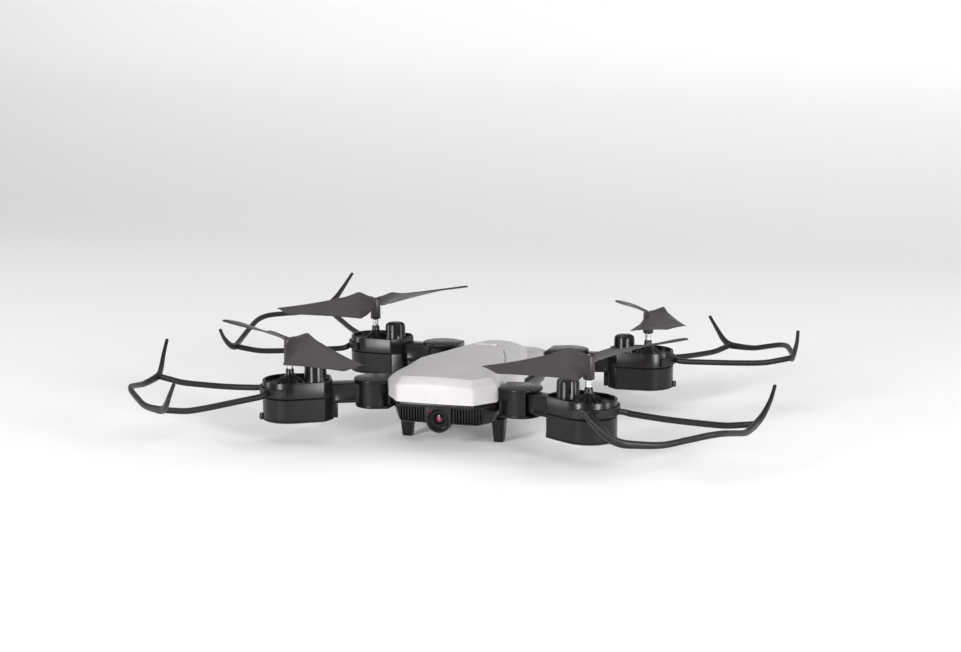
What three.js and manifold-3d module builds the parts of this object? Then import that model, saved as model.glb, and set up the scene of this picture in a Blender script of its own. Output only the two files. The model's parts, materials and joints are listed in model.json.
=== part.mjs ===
// Folding-arm toy quadcopter with clip-on propeller guards.
// Millimetres, +Z up, nose towards -Y, +X to the right when the nose is seen from the front.
import * as THREE from 'three';
import { mergeVertices } from 'three/addons/utils/BufferGeometryUtils.js';
import Module from 'manifold-3d';

const wasm = await Module();
wasm.setup();

// ---------------------------------------------------------------- driving dimensions
const FRONT_TRACK = 180;        // between the two front rotor shafts
const REAR_TRACK = 184;         // between the two rear rotor shafts
const WHEELBASE = 151;          // front shafts to rear shafts
const FRONT_SWEEP = 25.5;       // degrees each front arm points ahead of straight out
const REAR_SWEEP = 9.8;         // degrees each rear arm points behind straight out
const ARM_LENGTH = 50;          // fold hinge to rotor shaft
const GAP = 0.3;                // clearance between neighbouring pieces

const BELLY_Z = 14.5;           // underside of the lower shell
const SPLIT_Z = 28.1;           // joint between lower and upper shell
const DECK_Z = 36;              // tail deck of the upper shell
const SIDE_Z = 40.5;            // top of the upper shell's side walls
const CROWN_Z = 44.6;           // highest line of the upper shell
const CROWN_RADIUS = 190;       // crosswise curve of the upper shell's top
const SHELL_WALL = 1.8;

const POD_RADIUS = 16.2;        // round outer end of a motor pod
const POD_TAPER = 7.4;          // degrees each flat pod wall turns in towards the arm
const POD_SHOULDER = 19.3;      // shaft to the corners where the flat walls end
const POD_END = 24.5;           // shaft to the pod's inner end
const POD_END_HALF = 7.5;
const POD_BOTTOM_Z = 13.4;
const POD_SEAM_Z = 27.5;
const POD_RIM_Z = 37.1;
const POD_WALL = 1.5;

const GEAR_MODULE = 0.6;
const GEAR_TEETH = 42;
const PINION_TEETH = 8;
const GEAR_Z = 17.2;
const GEAR_THICKNESS = 3.4;
const MOTOR_OFFSET = (GEAR_TEETH + PINION_TEETH) * GEAR_MODULE / 2;
const MOTOR_RADIUS = 4.25;
const MOTOR_SEAT_Z = 24.3;       // bridge in the pod that the motor can stands on
const TOWER_RADIUS = 6.6;
const TOWER_TOP_Z = 46.3;

const SHAFT_RADIUS = 1.2;
const NECK_TOP_Z = 43;          // top of the black neck round the shaft
const HUB_BOTTOM_Z = 47.7;
const HUB_TOP_Z = 61.5;
const HUB_RADIUS = 3.3;
const PROP_RADIUS = 72;

const BEAM_HALF = 5;
const BEAM_LOW_Z = 22.3;
const BEAM_HIGH_Z = 34.2;
const BARREL_RADIUS = 9;
const LUG_RADIUS = 12.5;
const LUG_LOW_Z = 19.5;
const LUG_HIGH_Z = 36.4;
const LUG_THICKNESS = 1.9;
const PIN_RADIUS = 1.6;

const GUARD_BAND_LOW_Z = 28.7;  // clip band of the propeller guard
const GUARD_BAND_HIGH_Z = 33.7;
const GUARD_TUBE = 1.75;        // half height of the guard's struts and rail

const LEG_X = 28.4;
const LEG_FRONT_Y = -42.5;
const LEG_REAR_Y = 46;

const FINE = 20;                // segments round large cylinders
const COARSE = 12;              // segments round small cylinders
const BAND_SEGMENTS = 24;       // segments round a full guard band

// ---------------------------------------------------------------- materials
const plastic = (color, roughness) => new THREE.MeshStandardMaterial({ color, roughness, metalness: 0 });
const metal = (color, roughness) => new THREE.MeshStandardMaterial({ color, roughness, metalness: 1 });
const WHITE_SHELL = plastic(0xe9e8ec, 0.3);
const BLACK_BODY = plastic(0x262224, 0.42);
const BLACK_GRILLE = plastic(0x1d1a1c, 0.5);
const BLADE_BROWN = plastic(0x453e42, 0.38);
const GUARD_BLACK = plastic(0x2a2628, 0.45);
const GEAR_WHITE = plastic(0xe8e4d8, 0.5);
const BOARD_GREEN = plastic(0x1f5a36, 0.55);
const BATTERY_BLACK = plastic(0x2b2b2e, 0.6);
const LED_RED = plastic(0xb01822, 0.3);
const LENS_GLASS = plastic(0x1a0b12, 0.05);
const STEEL = metal(0xc6c8cc, 0.28);
const BRASS = metal(0xb89a56, 0.35);

// ---------------------------------------------------------------- solid helpers
const radians = (degrees) => degrees * Math.PI / 180;

/** A closed three.js geometry as a manifold solid. */
function solid(geometry) {
  const bare = geometry.clone();
  bare.deleteAttribute('normal');
  bare.deleteAttribute('uv');
  const merged = mergeVertices(bare, 1e-4);
  const index = merged.index.array;
  const kept = [];
  for (let i = 0; i < index.length; i += 3) {
    const [a, b, c] = [index[i], index[i + 1], index[i + 2]];
    if (a !== b && b !== c && c !== a) kept.push(a, b, c);
  }
  const vertProperties = new Float32Array(merged.attributes.position.array);
  const triVerts = new Uint32Array(kept);
  return new wasm.Manifold(new wasm.Mesh({ numProp: 3, vertProperties, triVerts }));
}

/** A manifold solid as a three.js geometry. */
function surface(body) {
  const { vertProperties, triVerts } = body.getMesh();
  const geometry = new THREE.BufferGeometry();
  geometry.setAttribute('position', new THREE.BufferAttribute(new Float32Array(vertProperties), 3));
  geometry.setIndex(new THREE.BufferAttribute(new Uint32Array(triVerts), 1));
  geometry.computeVertexNormals();
  return geometry;
}

/** A named mesh of a manifold solid. */
function piece(name, body, material) {
  const mesh = new THREE.Mesh(surface(body), material);
  mesh.name = name;
  return mesh;
}

/** An upright cylinder, or a cone frustum when a top radius is given. */
function post(radius, low, high, x = 0, y = 0, segments = COARSE, topRadius = radius) {
  const geometry = new THREE.CylinderGeometry(topRadius, radius, high - low, segments);
  geometry.rotateX(Math.PI / 2);
  geometry.translate(x, y, (low + high) / 2);
  return solid(geometry);
}

/** A cutter for a round hole whose flats clear a turning pin of the given radius. */
function bore(pinRadius, clearance, low, high, x = 0, y = 0) {
  return post((pinRadius + clearance) / Math.cos(Math.PI / COARSE), low, high, x, y);
}

/** A box between two corners. */
function block(x0, x1, y0, y1, z0, z1) {
  const geometry = new THREE.BoxGeometry(x1 - x0, y1 - y0, z1 - z0);
  geometry.translate((x0 + x1) / 2, (y0 + y1) / 2, (z0 + z1) / 2);
  return solid(geometry);
}

/** A flat outline of [x, y] points raised between two heights. */
function prism(outline, low, high) {
  const shape = new THREE.Shape(outline.map(([x, y]) => new THREE.Vector2(x, y)));
  const geometry = new THREE.ExtrudeGeometry(shape, { depth: high - low, bevelEnabled: false });
  geometry.translate(0, 0, low);
  return solid(geometry);
}

/** A profile of [radius, height] points turned about the vertical axis. */
function turned(profile, segments = FINE) {
  const points = profile.map(([r, z]) => new THREE.Vector2(r, z));
  const geometry = new THREE.LatheGeometry(points, segments);
  geometry.rotateX(Math.PI / 2);
  return solid(geometry);
}

/** A rod of the given flat section swept along a smooth curve through the points. */
function rod(points, halfWidth, halfHeight, steps, endScale = 1) {
  const section = new THREE.Shape();
  section.moveTo(halfHeight, 0);
  section.lineTo(0.55 * halfHeight, halfWidth);
  section.lineTo(-0.55 * halfHeight, halfWidth);
  section.lineTo(-halfHeight, 0);
  section.lineTo(-0.55 * halfHeight, -halfWidth);
  section.lineTo(0.55 * halfHeight, -halfWidth);
  const curve = new THREE.CatmullRomCurve3(points.map((p) => new THREE.Vector3(...p)));
  const geometry = new THREE.ExtrudeGeometry(section, { steps, extrudePath: curve, bevelEnabled: false });
  if (endScale !== 1) taperAlong(geometry, curve, steps, endScale);
  return solid(geometry);
}

/** Shrinks a swept rod evenly towards the far end of its curve. */
function taperAlong(geometry, curve, steps, endScale) {
  const centres = curve.getSpacedPoints(steps);
  const position = geometry.attributes.position;
  const point = new THREE.Vector3();
  for (let i = 0; i < position.count; i += 1) {
    point.fromBufferAttribute(position, i);
    let nearest = 0;
    for (let k = 1; k <= steps; k += 1) {
      if (point.distanceToSquared(centres[k]) < point.distanceToSquared(centres[nearest])) nearest = k;
    }
    const scale = 1 + (endScale - 1) * nearest / steps;
    point.sub(centres[nearest]).multiplyScalar(scale).add(centres[nearest]);
    position.setXYZ(i, point.x, point.y, point.z);
  }
}

/** A convex counter-clockwise outline moved inwards by a distance. */
function inset(outline, distance) {
  const count = outline.length;
  const lines = outline.map(([x, y], i) => {
    const [nextX, nextY] = outline[(i + 1) % count];
    const length = Math.hypot(nextX - x, nextY - y);
    const normal = [-(nextY - y) / length, (nextX - x) / length];
    return { normal, offset: normal[0] * x + normal[1] * y + distance };
  });
  return lines.map((line, i) => {
    const previous = lines[(i + count - 1) % count];
    const cross = previous.normal[0] * line.normal[1] - previous.normal[1] * line.normal[0];
    const x = (previous.offset * line.normal[1] - line.offset * previous.normal[1]) / cross;
    const y = (line.offset * previous.normal[0] - previous.offset * line.normal[0]) / cross;
    return [x, y];
  });
}

/** The right half of an outline, front to rear, completed by its mirror image. */
function mirrored(rightHalf) {
  const left = rightHalf.filter(([x]) => x > 0).map(([x, y]) => [-x, y]).reverse();
  return [...rightHalf, ...left];
}

// ---------------------------------------------------------------- body
const UPPER_OUTLINE = mirrored([[23, -78.6], [33.3, -63.9], [33.3, -5], [28.4, 10.4], [24.4, 29.6],
  [20, 47.4], [13.3, 59], [5, 62.4]]);
const DECK_OUTLINE = mirrored([[31.5, -20], [31.5, 43], [29, 52], [29, 66], [20, 75]]);
const LOWER_OUTLINE = mirrored([[26, -69.5], [32.4, -58], [32.4, 43], [29.3, 52], [29.3, 66.2], [20, 75.2]]);
const CHIN_OUTLINE = mirrored([[22.2, -77.1], [31.8, -63.4], [31.8, -55]]);
const CHIN_HEIGHT = 2.6;
const BEVEL_INSET = 5;
const BUTTON_Y = 25;
const BUTTON_HALF = [6.8, 2.3];
const BUTTON_TRAVEL = 0.8;
const BATTERY_HALF = 17;
const BATTERY_FRONT_Y = 6;
const BATTERY_REAR_Y = 75.8;
const BATTERY_LOW_Z = 17;
const BATTERY_HIGH_Z = 27.4;
const CAMERA_Z = 17.3;
const CAMERA_RADIUS = 7.8;
const CAMERA_FRONT_Y = -71.5;
const CAMERA_REAR_Y = -57;
const BARREL_FRONT_Y = CAMERA_FRONT_Y + 1.5;
const LENS_SEAT_RADIUS = 3.6;
const LED_RADIUS = 0.6;
const LED_X = -4.7;
const LED_Z = 22.1;
const GRILLE_INNER_X = 9.2;     // inner side of each grille window
const GRILLE_WIDTH = 16;
const GRILLE_LOW_Z = 15.6;
const GRILLE_HIGH_Z = 24.6;
const GRILLE_RIBS = 9;
const GRILLE_FRONT_Y = -69.2;   // faces of the ribs
const GRILLE_BACK_Y = -66.2;
const BAY_DOOR_Y = 60;          // the rear wall is open behind this for the battery
const BOARD_Z = 31;
const BOARD_POSTS = [[-23, -46], [23, -46], [-19, 34], [19, 34]];

/** Crowned solid of the upper shell's main hump, with a bevelled top edge. */
function hump(margin) {
  const outline = margin > 0 ? inset(UPPER_OUTLINE, margin) : UPPER_OUTLINE;
  const shape = new THREE.Shape(outline.map(([x, y]) => new THREE.Vector2(x, y)));
  const rise = CROWN_Z - SIDE_Z + 1;
  const bevelled = new THREE.ExtrudeGeometry(shape, {
    depth: SIDE_Z - margin - SPLIT_Z + rise,
    bevelThickness: rise,
    bevelSize: BEVEL_INSET,
    bevelOffset: -BEVEL_INSET,
    bevelSegments: 1,
  });
  bevelled.translate(0, 0, SPLIT_Z - rise);
  const crown = new THREE.CylinderGeometry(CROWN_RADIUS - margin, CROWN_RADIUS - margin, 400, 120);
  crown.translate(0, 0, CROWN_Z - CROWN_RADIUS);
  const low = margin > 0 ? SPLIT_Z - 1 : SPLIT_Z + GAP;
  const envelope = block(-60, 60, -100, 100, low, CROWN_Z + 5);
  return solid(bevelled).intersect(solid(crown)).intersect(envelope);
}

function upperShell() {
  const deck = prism(DECK_OUTLINE, SPLIT_Z + GAP, DECK_Z - GAP);
  const deckHollow = prism(inset(DECK_OUTLINE, SHELL_WALL), SPLIT_Z - 1, DECK_Z - GAP - SHELL_WALL);
  const [halfX, halfY] = BUTTON_HALF.map((half) => half + GAP);
  const buttonHole = block(-halfX, halfX, BUTTON_Y - halfY, BUTTON_Y + halfY, DECK_Z, CROWN_Z + 2);
  return hump(0).add(deck).subtract(hump(SHELL_WALL)).subtract(deckHollow).subtract(buttonHole);
}

/** Clevis plates that hold one folding arm, joined by a web along the body's side. */
function hingeLug(hinge) {
  const side = Math.sign(hinge.x);
  const end = Math.sign(hinge.y);
  const nearY = hinge.y + end * 6;
  const farY = hinge.y - end * (LUG_RADIUS - 1);
  const strip = (x0, x1, z0, z1) => block(Math.min(side * x0, side * x1), Math.max(side * x0, side * x1),
    Math.min(nearY, farY), Math.max(nearY, farY), z0, z1);
  const plate = (low) => {
    const disc = post(LUG_RADIUS, low, low + LUG_THICKNESS, hinge.x, hinge.y, FINE);
    return disc.add(strip(hinge.webX, Math.abs(hinge.x) - 4, low, low + LUG_THICKNESS));
  };
  const web = strip(hinge.webX, hinge.webX + 1.5, LUG_LOW_Z, LUG_HIGH_Z);
  const foot = strip(hinge.webX - 3, hinge.webX + 1.5, LUG_LOW_Z, SPLIT_Z);
  const lug = plate(LUG_LOW_Z).add(plate(LUG_HIGH_Z - LUG_THICKNESS)).add(web).add(foot);
  const clear = block(-hinge.webX, hinge.webX, -100, 100, SPLIT_Z, LUG_HIGH_Z + 1);
  const hole = bore(PIN_RADIUS, 0.05, LUG_LOW_Z - 1, LUG_HIGH_Z - 0.6, hinge.x, hinge.y);
  return { lug: lug.subtract(clear), hole };
}

function lowerShell(corners) {
  let shell = prism(LOWER_OUTLINE, BELLY_Z, SPLIT_Z);
  const holes = [];
  for (const place of corners) {
    const { lug, hole } = hingeLug(place.hinge);
    shell = shell.add(lug);
    holes.push(hole);
  }
  shell = shell.add(prism(CHIN_OUTLINE, SPLIT_Z - CHIN_HEIGHT, SPLIT_Z));
  shell = shell.subtract(prism(inset(LOWER_OUTLINE, SHELL_WALL), BELLY_Z + SHELL_WALL, SPLIT_Z + 1));
  for (const [x, y] of BOARD_POSTS) shell = shell.add(post(2, BELLY_Z + 1, BOARD_Z - GAP, x, y, 8));
  for (const hole of holes) shell = shell.subtract(hole);
  const bayDoor = block(-BATTERY_HALF - GAP, BATTERY_HALF + GAP, BAY_DOOR_Y, BATTERY_REAR_Y + 5,
    BATTERY_LOW_Z - GAP, SPLIT_Z + 1);
  const cameraHole = sideways(CAMERA_RADIUS + GAP, CAMERA_FRONT_Y - 5, CAMERA_REAR_Y + 2, 0, CAMERA_Z);
  shell = shell.subtract(bayDoor).subtract(cameraHole);
  for (const side of [-1, 1]) {
    const [near, far] = grilleSpan(side, 0);
    shell = shell.subtract(block(near, far, CAMERA_FRONT_Y - 3, GRILLE_BACK_Y, GRILLE_LOW_Z, GRILLE_HIGH_Z));
  }
  return shell;
}

/** A cylinder along Y. */
function sideways(radius, front, rear, x, z, segments = FINE) {
  const geometry = new THREE.CylinderGeometry(radius, radius, rear - front, segments);
  geometry.translate(x, (front + rear) / 2, z);
  return solid(geometry);
}

/** Left and right sides of a grille window, drawn in by a margin. */
function grilleSpan(side, margin) {
  const ends = [side * (GRILLE_INNER_X + margin), side * (GRILLE_INNER_X + GRILLE_WIDTH - margin)];
  return ends.sort((a, b) => a - b);
}

/** Ribbed insert beside the camera: a thin plate with upright ribs. */
function grille(side) {
  const [left, right] = grilleSpan(side, GAP);
  const [low, high] = [GRILLE_LOW_Z + GAP, GRILLE_HIGH_Z - GAP];
  const pitch = (right - left) / GRILLE_RIBS;
  let body = block(left, right, GRILLE_BACK_Y - 1.2, GRILLE_BACK_Y, low, high);
  for (let i = 0; i < GRILLE_RIBS; i += 1) {
    const ribLeft = left + pitch * (i + 0.22);
    body = body.add(block(ribLeft, ribLeft + pitch * 0.56, GRILLE_FRONT_Y, GRILLE_BACK_Y - 0.6, low, high));
  }
  return body;
}

function cameraHousing() {
  const shell = sideways(CAMERA_RADIUS, CAMERA_FRONT_Y, CAMERA_REAR_Y, 0, CAMERA_Z);
  const mouth = sideways(5.6, CAMERA_FRONT_Y - 1, CAMERA_REAR_Y - 3, 0, CAMERA_Z);
  const ledSocket = sideways(LED_RADIUS + 0.15, CAMERA_FRONT_Y - 1, CAMERA_FRONT_Y + 4, LED_X, LED_Z, COARSE);
  return shell.subtract(mouth).subtract(ledSocket);
}

function lensBarrel() {
  const barrel = sideways(5.3, BARREL_FRONT_Y, CAMERA_REAR_Y - 3.5, 0, CAMERA_Z);
  return barrel.subtract(sideways(LENS_SEAT_RADIUS, BARREL_FRONT_Y - 1, BARREL_FRONT_Y + 2.5, 0, CAMERA_Z, COARSE));
}

/** Shallow glass dome seated in the lens barrel. */
function lensGlass() {
  const front = BARREL_FRONT_Y + 0.7;
  const rear = BARREL_FRONT_Y + 2.2;
  const geometry = new THREE.SphereGeometry(5, COARSE, 12);
  geometry.translate(0, front + 5, CAMERA_Z);
  return solid(geometry).intersect(sideways(LENS_SEAT_RADIUS - GAP, front - 1, rear, 0, CAMERA_Z, COARSE));
}

function statusLed() {
  return sideways(LED_RADIUS, CAMERA_FRONT_Y - 0.3, CAMERA_FRONT_Y + 3.5, LED_X, LED_Z, COARSE);
}

function flightBoard() {
  let board = block(-26, 26, -52, 16, BOARD_Z, BOARD_Z + 1.6);
  board = board.add(block(-22, 22, 15, 38, BOARD_Z, BOARD_Z + 1.6));
  board = board.add(block(-8, 8, -30, -14, BOARD_Z + 1, BOARD_Z + 3.2));
  board = board.add(block(-20, -10, 2, 10, BOARD_Z + 1, BOARD_Z + 4.2));
  board = board.add(block(10, 21, -10, 3, BOARD_Z + 1, BOARD_Z + 2.8));
  return board.add(block(-2.4, 2.4, BUTTON_Y - 2.4, BUTTON_Y + 2.4, BOARD_Z + 1, BOARD_Z + 4.5));
}

function powerButton() {
  const [halfX, halfY] = BUTTON_HALF;
  const cap = block(-halfX, halfX, BUTTON_Y - halfY, BUTTON_Y + halfY, CROWN_Z - 2.6, CROWN_Z + 0.6);
  const stem = block(-1.5, 1.5, BUTTON_Y - 1.5, BUTTON_Y + 1.5, BOARD_Z + 5.6, CROWN_Z - 2);
  const flange = block(-3, 3, BUTTON_Y - 3, BUTTON_Y + 3, CROWN_Z - 4.6, CROWN_Z - 3.4);
  return cap.add(stem).add(flange);
}

function batteryPack() {
  const cell = block(-BATTERY_HALF + 0.5, BATTERY_HALF - 0.5, BATTERY_FRONT_Y, BATTERY_REAR_Y - 1, BATTERY_LOW_Z,
    BATTERY_HIGH_Z);
  const cap = block(-BATTERY_HALF, BATTERY_HALF, BATTERY_REAR_Y - 8, BATTERY_REAR_Y, BATTERY_LOW_Z,
    BATTERY_HIGH_Z + GAP);
  const grip = block(-7, 7, BATTERY_REAR_Y - 1.2, BATTERY_REAR_Y + 1, 23.2, 26.4);
  return cell.add(cap).subtract(grip);
}

/** Square leg that narrows to its foot. */
function leg(x, y) {
  const geometry = new THREE.CylinderGeometry(8 / Math.SQRT2, 5.6 / Math.SQRT2, BELLY_Z - GAP, 4);
  geometry.rotateY(Math.PI / 4);
  geometry.rotateX(Math.PI / 2);
  geometry.translate(x, y, (BELLY_Z - GAP) / 2);
  return solid(geometry);
}

// ---------------------------------------------------------------- arm and motor pod
// Local frame: rotor shaft at the origin, +X towards the fold hinge.

function podOutline() {
  const taper = radians(POD_TAPER);
  const arcEnd = Math.PI / 2 - taper;
  const points = [];
  const steps = 13;
  for (let i = 0; i <= steps; i += 1) {
    const angle = arcEnd + (2 * Math.PI - 2 * arcEnd) * i / steps;
    points.push([POD_RADIUS * Math.cos(angle), POD_RADIUS * Math.sin(angle)]);
  }
  const tangentX = POD_RADIUS * Math.sin(taper);
  const shoulderY = POD_RADIUS * Math.cos(taper) - (POD_SHOULDER - tangentX) * Math.tan(taper);
  points.push([POD_SHOULDER, -shoulderY], [POD_END, -POD_END_HALF]);
  points.push([POD_END, POD_END_HALF], [POD_SHOULDER, shoulderY]);
  return points;
}

const POD_OUTLINE = podOutline();

/** Lower pod cup, arm beam and hinge barrel in one moulding. */
function armFrame() {
  const top = POD_SEAM_Z - GAP / 2;
  const cavity = prism(inset(POD_OUTLINE, POD_WALL), POD_BOTTOM_Z + POD_WALL, top + 1);
  let arm = prism(POD_OUTLINE, POD_BOTTOM_Z, top).subtract(cavity);
  arm = arm.add(post(3, POD_BOTTOM_Z + 1, GEAR_Z - GAP, 0, 0));
  arm = arm.subtract(bore(SHAFT_RADIUS, 0.05, POD_BOTTOM_Z + 2, GEAR_Z));
  const bridge = block(MOTOR_OFFSET - 5.5, MOTOR_OFFSET + 4, -14.2, 14.2, GEAR_Z + GEAR_THICKNESS + 1.2,
    MOTOR_SEAT_Z);
  arm = arm.add(bridge.intersect(prism(inset(POD_OUTLINE, POD_WALL / 2), POD_BOTTOM_Z, top)));
  arm = arm.subtract(post(3.2, GEAR_Z, MOTOR_SEAT_Z + 1, MOTOR_OFFSET, 0));
  arm = arm.add(block(POD_END - POD_WALL, ARM_LENGTH - 2, -BEAM_HALF, BEAM_HALF, BEAM_LOW_Z, BEAM_HIGH_Z));
  arm = arm.add(post(BARREL_RADIUS, LUG_LOW_Z + LUG_THICKNESS + GAP, LUG_HIGH_Z - LUG_THICKNESS - GAP,
    ARM_LENGTH, 0, FINE));
  arm = arm.subtract(bore(PIN_RADIUS, 0.05, LUG_LOW_Z, LUG_HIGH_Z, ARM_LENGTH));
  arm = arm.add(post(2.4, POD_BOTTOM_Z, BEAM_LOW_Z + 1, POD_END + 1, 0));
  return arm.add(post(1.9, POD_BOTTOM_Z, POD_BOTTOM_Z + 6, -POD_RADIUS, 0, COARSE));
}

/** Upper pod cover: skirt, recessed top, cone round the shaft and the tower over the motor. */
function podCover() {
  const floorZ = POD_RIM_Z - 1.8;
  let cover = prism(POD_OUTLINE, POD_SEAM_Z + GAP / 2, POD_RIM_Z);
  const innerOutline = inset(POD_OUTLINE, POD_WALL);
  cover = cover.subtract(prism(innerOutline, POD_SEAM_Z - 1, floorZ - 1.4));
  cover = cover.subtract(prism(innerOutline, floorZ, POD_RIM_Z + 1));
  cover = cover.add(post(7.4, floorZ - 1, 39.6, 0, 0, COARSE, 2.5));
  cover = cover.add(post(2.3, 39, NECK_TOP_Z, 0, 0));
  for (let i = 0; i < 4; i += 1) {
    const rib = new THREE.BoxGeometry(9, 1, 3.2);
    rib.translate(6.2, 0, floorZ + 1.2);
    rib.rotateZ(radians(45 + 90 * i));
    cover = cover.add(solid(rib));
  }
  cover = cover.add(post(TOWER_RADIUS, floorZ - 1, TOWER_TOP_Z - 1.2, MOTOR_OFFSET));
  cover = cover.add(post(TOWER_RADIUS, TOWER_TOP_Z - 1.2, TOWER_TOP_Z, MOTOR_OFFSET, 0, COARSE, TOWER_RADIUS - 1.2));
  cover = cover.subtract(post(MOTOR_RADIUS + GAP, POD_SEAM_Z - 1, TOWER_TOP_Z - 1.6, MOTOR_OFFSET, 0));
  cover = cover.subtract(post(2.9, floorZ - 3, floorZ + 3.4, 0, 0));
  cover = cover.subtract(bore(SHAFT_RADIUS, 0.05, floorZ, NECK_TOP_Z + 1));
  return cover.subtract(block(POD_END - POD_WALL - GAP, POD_END + 2, -BEAM_HALF - GAP, BEAM_HALF + GAP,
    POD_SEAM_Z - 1, BEAM_HIGH_Z + GAP));
}

/** Coreless motor can with its thin shaft. */
function motor() {
  const can = post(MOTOR_RADIUS, MOTOR_SEAT_Z + GAP, TOWER_TOP_Z - 2, MOTOR_OFFSET, 0);
  return can.add(post(0.5, GEAR_Z + GEAR_THICKNESS + 0.4, MOTOR_SEAT_Z + 1, MOTOR_OFFSET, 0, 8));
}

/** Toothed wheel outline with V-shaped tooth spaces; a tooth centre lies at the given turn. */
function toothedWheel(teeth, turn) {
  const pitchRadius = teeth * GEAR_MODULE / 2;
  const tip = pitchRadius + GEAR_MODULE * 0.75;
  const root = pitchRadius - GEAR_MODULE * 1.3;
  const step = 2 * Math.PI / teeth;
  const outline = [];
  for (let i = 0; i < teeth; i += 1) {
    const centre = turn + i * step;
    const corners = [[tip, -0.08], [tip, 0.08], [root, 0.5]];
    for (const [radius, share] of corners) {
      outline.push([radius * Math.cos(centre + share * step), radius * Math.sin(centre + share * step)]);
    }
  }
  return outline;
}

/** Large spur gear; a tooth space faces the pinion. */
function mainGear() {
  const halfTooth = Math.PI / GEAR_TEETH;
  const wheel = prism(toothedWheel(GEAR_TEETH, halfTooth), GEAR_Z, GEAR_Z + GEAR_THICKNESS);
  const hub = post(2.8, GEAR_Z + 1, GEAR_Z + GEAR_THICKNESS + 2, 0, 0);
  return wheel.add(hub).subtract(post(SHAFT_RADIUS + GAP, GEAR_Z - 1, GEAR_Z + GEAR_THICKNESS + 3, 0, 0));
}

/** Motor pinion; one tooth points at the main gear's tooth space. */
function pinion() {
  const geometryTurn = Math.PI;
  const body = prism(toothedWheel(PINION_TEETH, geometryTurn), GEAR_Z, GEAR_Z + GEAR_THICKNESS);
  return body.translate([MOTOR_OFFSET, 0, 0]);
}

/** Rotor shaft with the bright collar under the propeller hub. */
function rotorShaft() {
  const foot = POD_BOTTOM_Z + 2.8;
  return turned([[0, foot], [SHAFT_RADIUS, foot], [SHAFT_RADIUS, NECK_TOP_Z + GAP], [1.9, NECK_TOP_Z + GAP],
    [1.9, HUB_BOTTOM_Z - GAP], [SHAFT_RADIUS, HUB_BOTTOM_Z - GAP], [SHAFT_RADIUS, HUB_TOP_Z - 4],
    [0, HUB_TOP_Z - 4]], COARSE);
}

function shaftBearing() {
  const low = POD_RIM_Z - 1.8 - 2;
  return post(2.6, low, low + 3, 0, 0).subtract(bore(SHAFT_RADIUS, 0.05, low - 1, low + 4));
}

/** One twisted blade along +X; hand +1 leads with its +Y edge. */
function blade(hand) {
  const geometry = new THREE.BoxGeometry(1, 2, 1, 7, 3, 1);
  const position = geometry.attributes.position;
  const mix = THREE.MathUtils.lerp;
  const ease = THREE.MathUtils.smoothstep;
  for (let i = 0; i < position.count; i += 1) {
    const along = position.getX(i) + 0.5;
    const radius = mix(1.5, PROP_RADIUS, along ** 1.25);
    const lead = mix(3, 9, ease(radius, 2, 16)) * mix(1, 0.48, ease(radius, 14, PROP_RADIUS));
    const trail = mix(3, 14, ease(radius, 2, 17)) * mix(1, 0.3, ease(radius, 12, PROP_RADIUS + 6));
    const across = position.getY(i) * hand;
    const offset = across > 0 ? across * lead : across * trail;
    const pitch = radians(mix(28, 13, ease(radius, 14, PROP_RADIUS)));
    const camber = 0.9 * (1 - across * across);
    const thickness = mix(1.5, 0.9, along);
    const z = HUB_TOP_Z - 1.4 + offset * Math.tan(pitch) + camber + position.getZ(i) * thickness;
    position.setXYZ(i, radius, offset * hand, z);
  }
  return geometry;
}

function propeller(hand) {
  const first = blade(hand);
  const second = first.clone().rotateZ(Math.PI);
  const hub = turned([[0, HUB_BOTTOM_Z], [HUB_RADIUS, HUB_BOTTOM_Z], [HUB_RADIUS, HUB_TOP_Z - 0.6],
    [HUB_RADIUS - 0.7, HUB_TOP_Z], [0, HUB_TOP_Z]], COARSE);
  const bore = post(SHAFT_RADIUS + GAP, HUB_BOTTOM_Z - 1, HUB_TOP_Z - 3, 0, 0);
  return hub.add(solid(first)).add(solid(second)).subtract(bore);
}

/** Headed pin that an arm folds on, put in from below. */
function hingePin(hinge) {
  const shank = post(PIN_RADIUS, LUG_LOW_Z - 1, LUG_HIGH_Z - 0.9, hinge.x, hinge.y);
  return shank.add(post(3, LUG_LOW_Z - 1.6, LUG_LOW_Z - GAP, hinge.x, hinge.y));
}

// ---------------------------------------------------------------- propeller guard
// Local frame: rotor shaft at the origin, +X straight out from the body.

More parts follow.
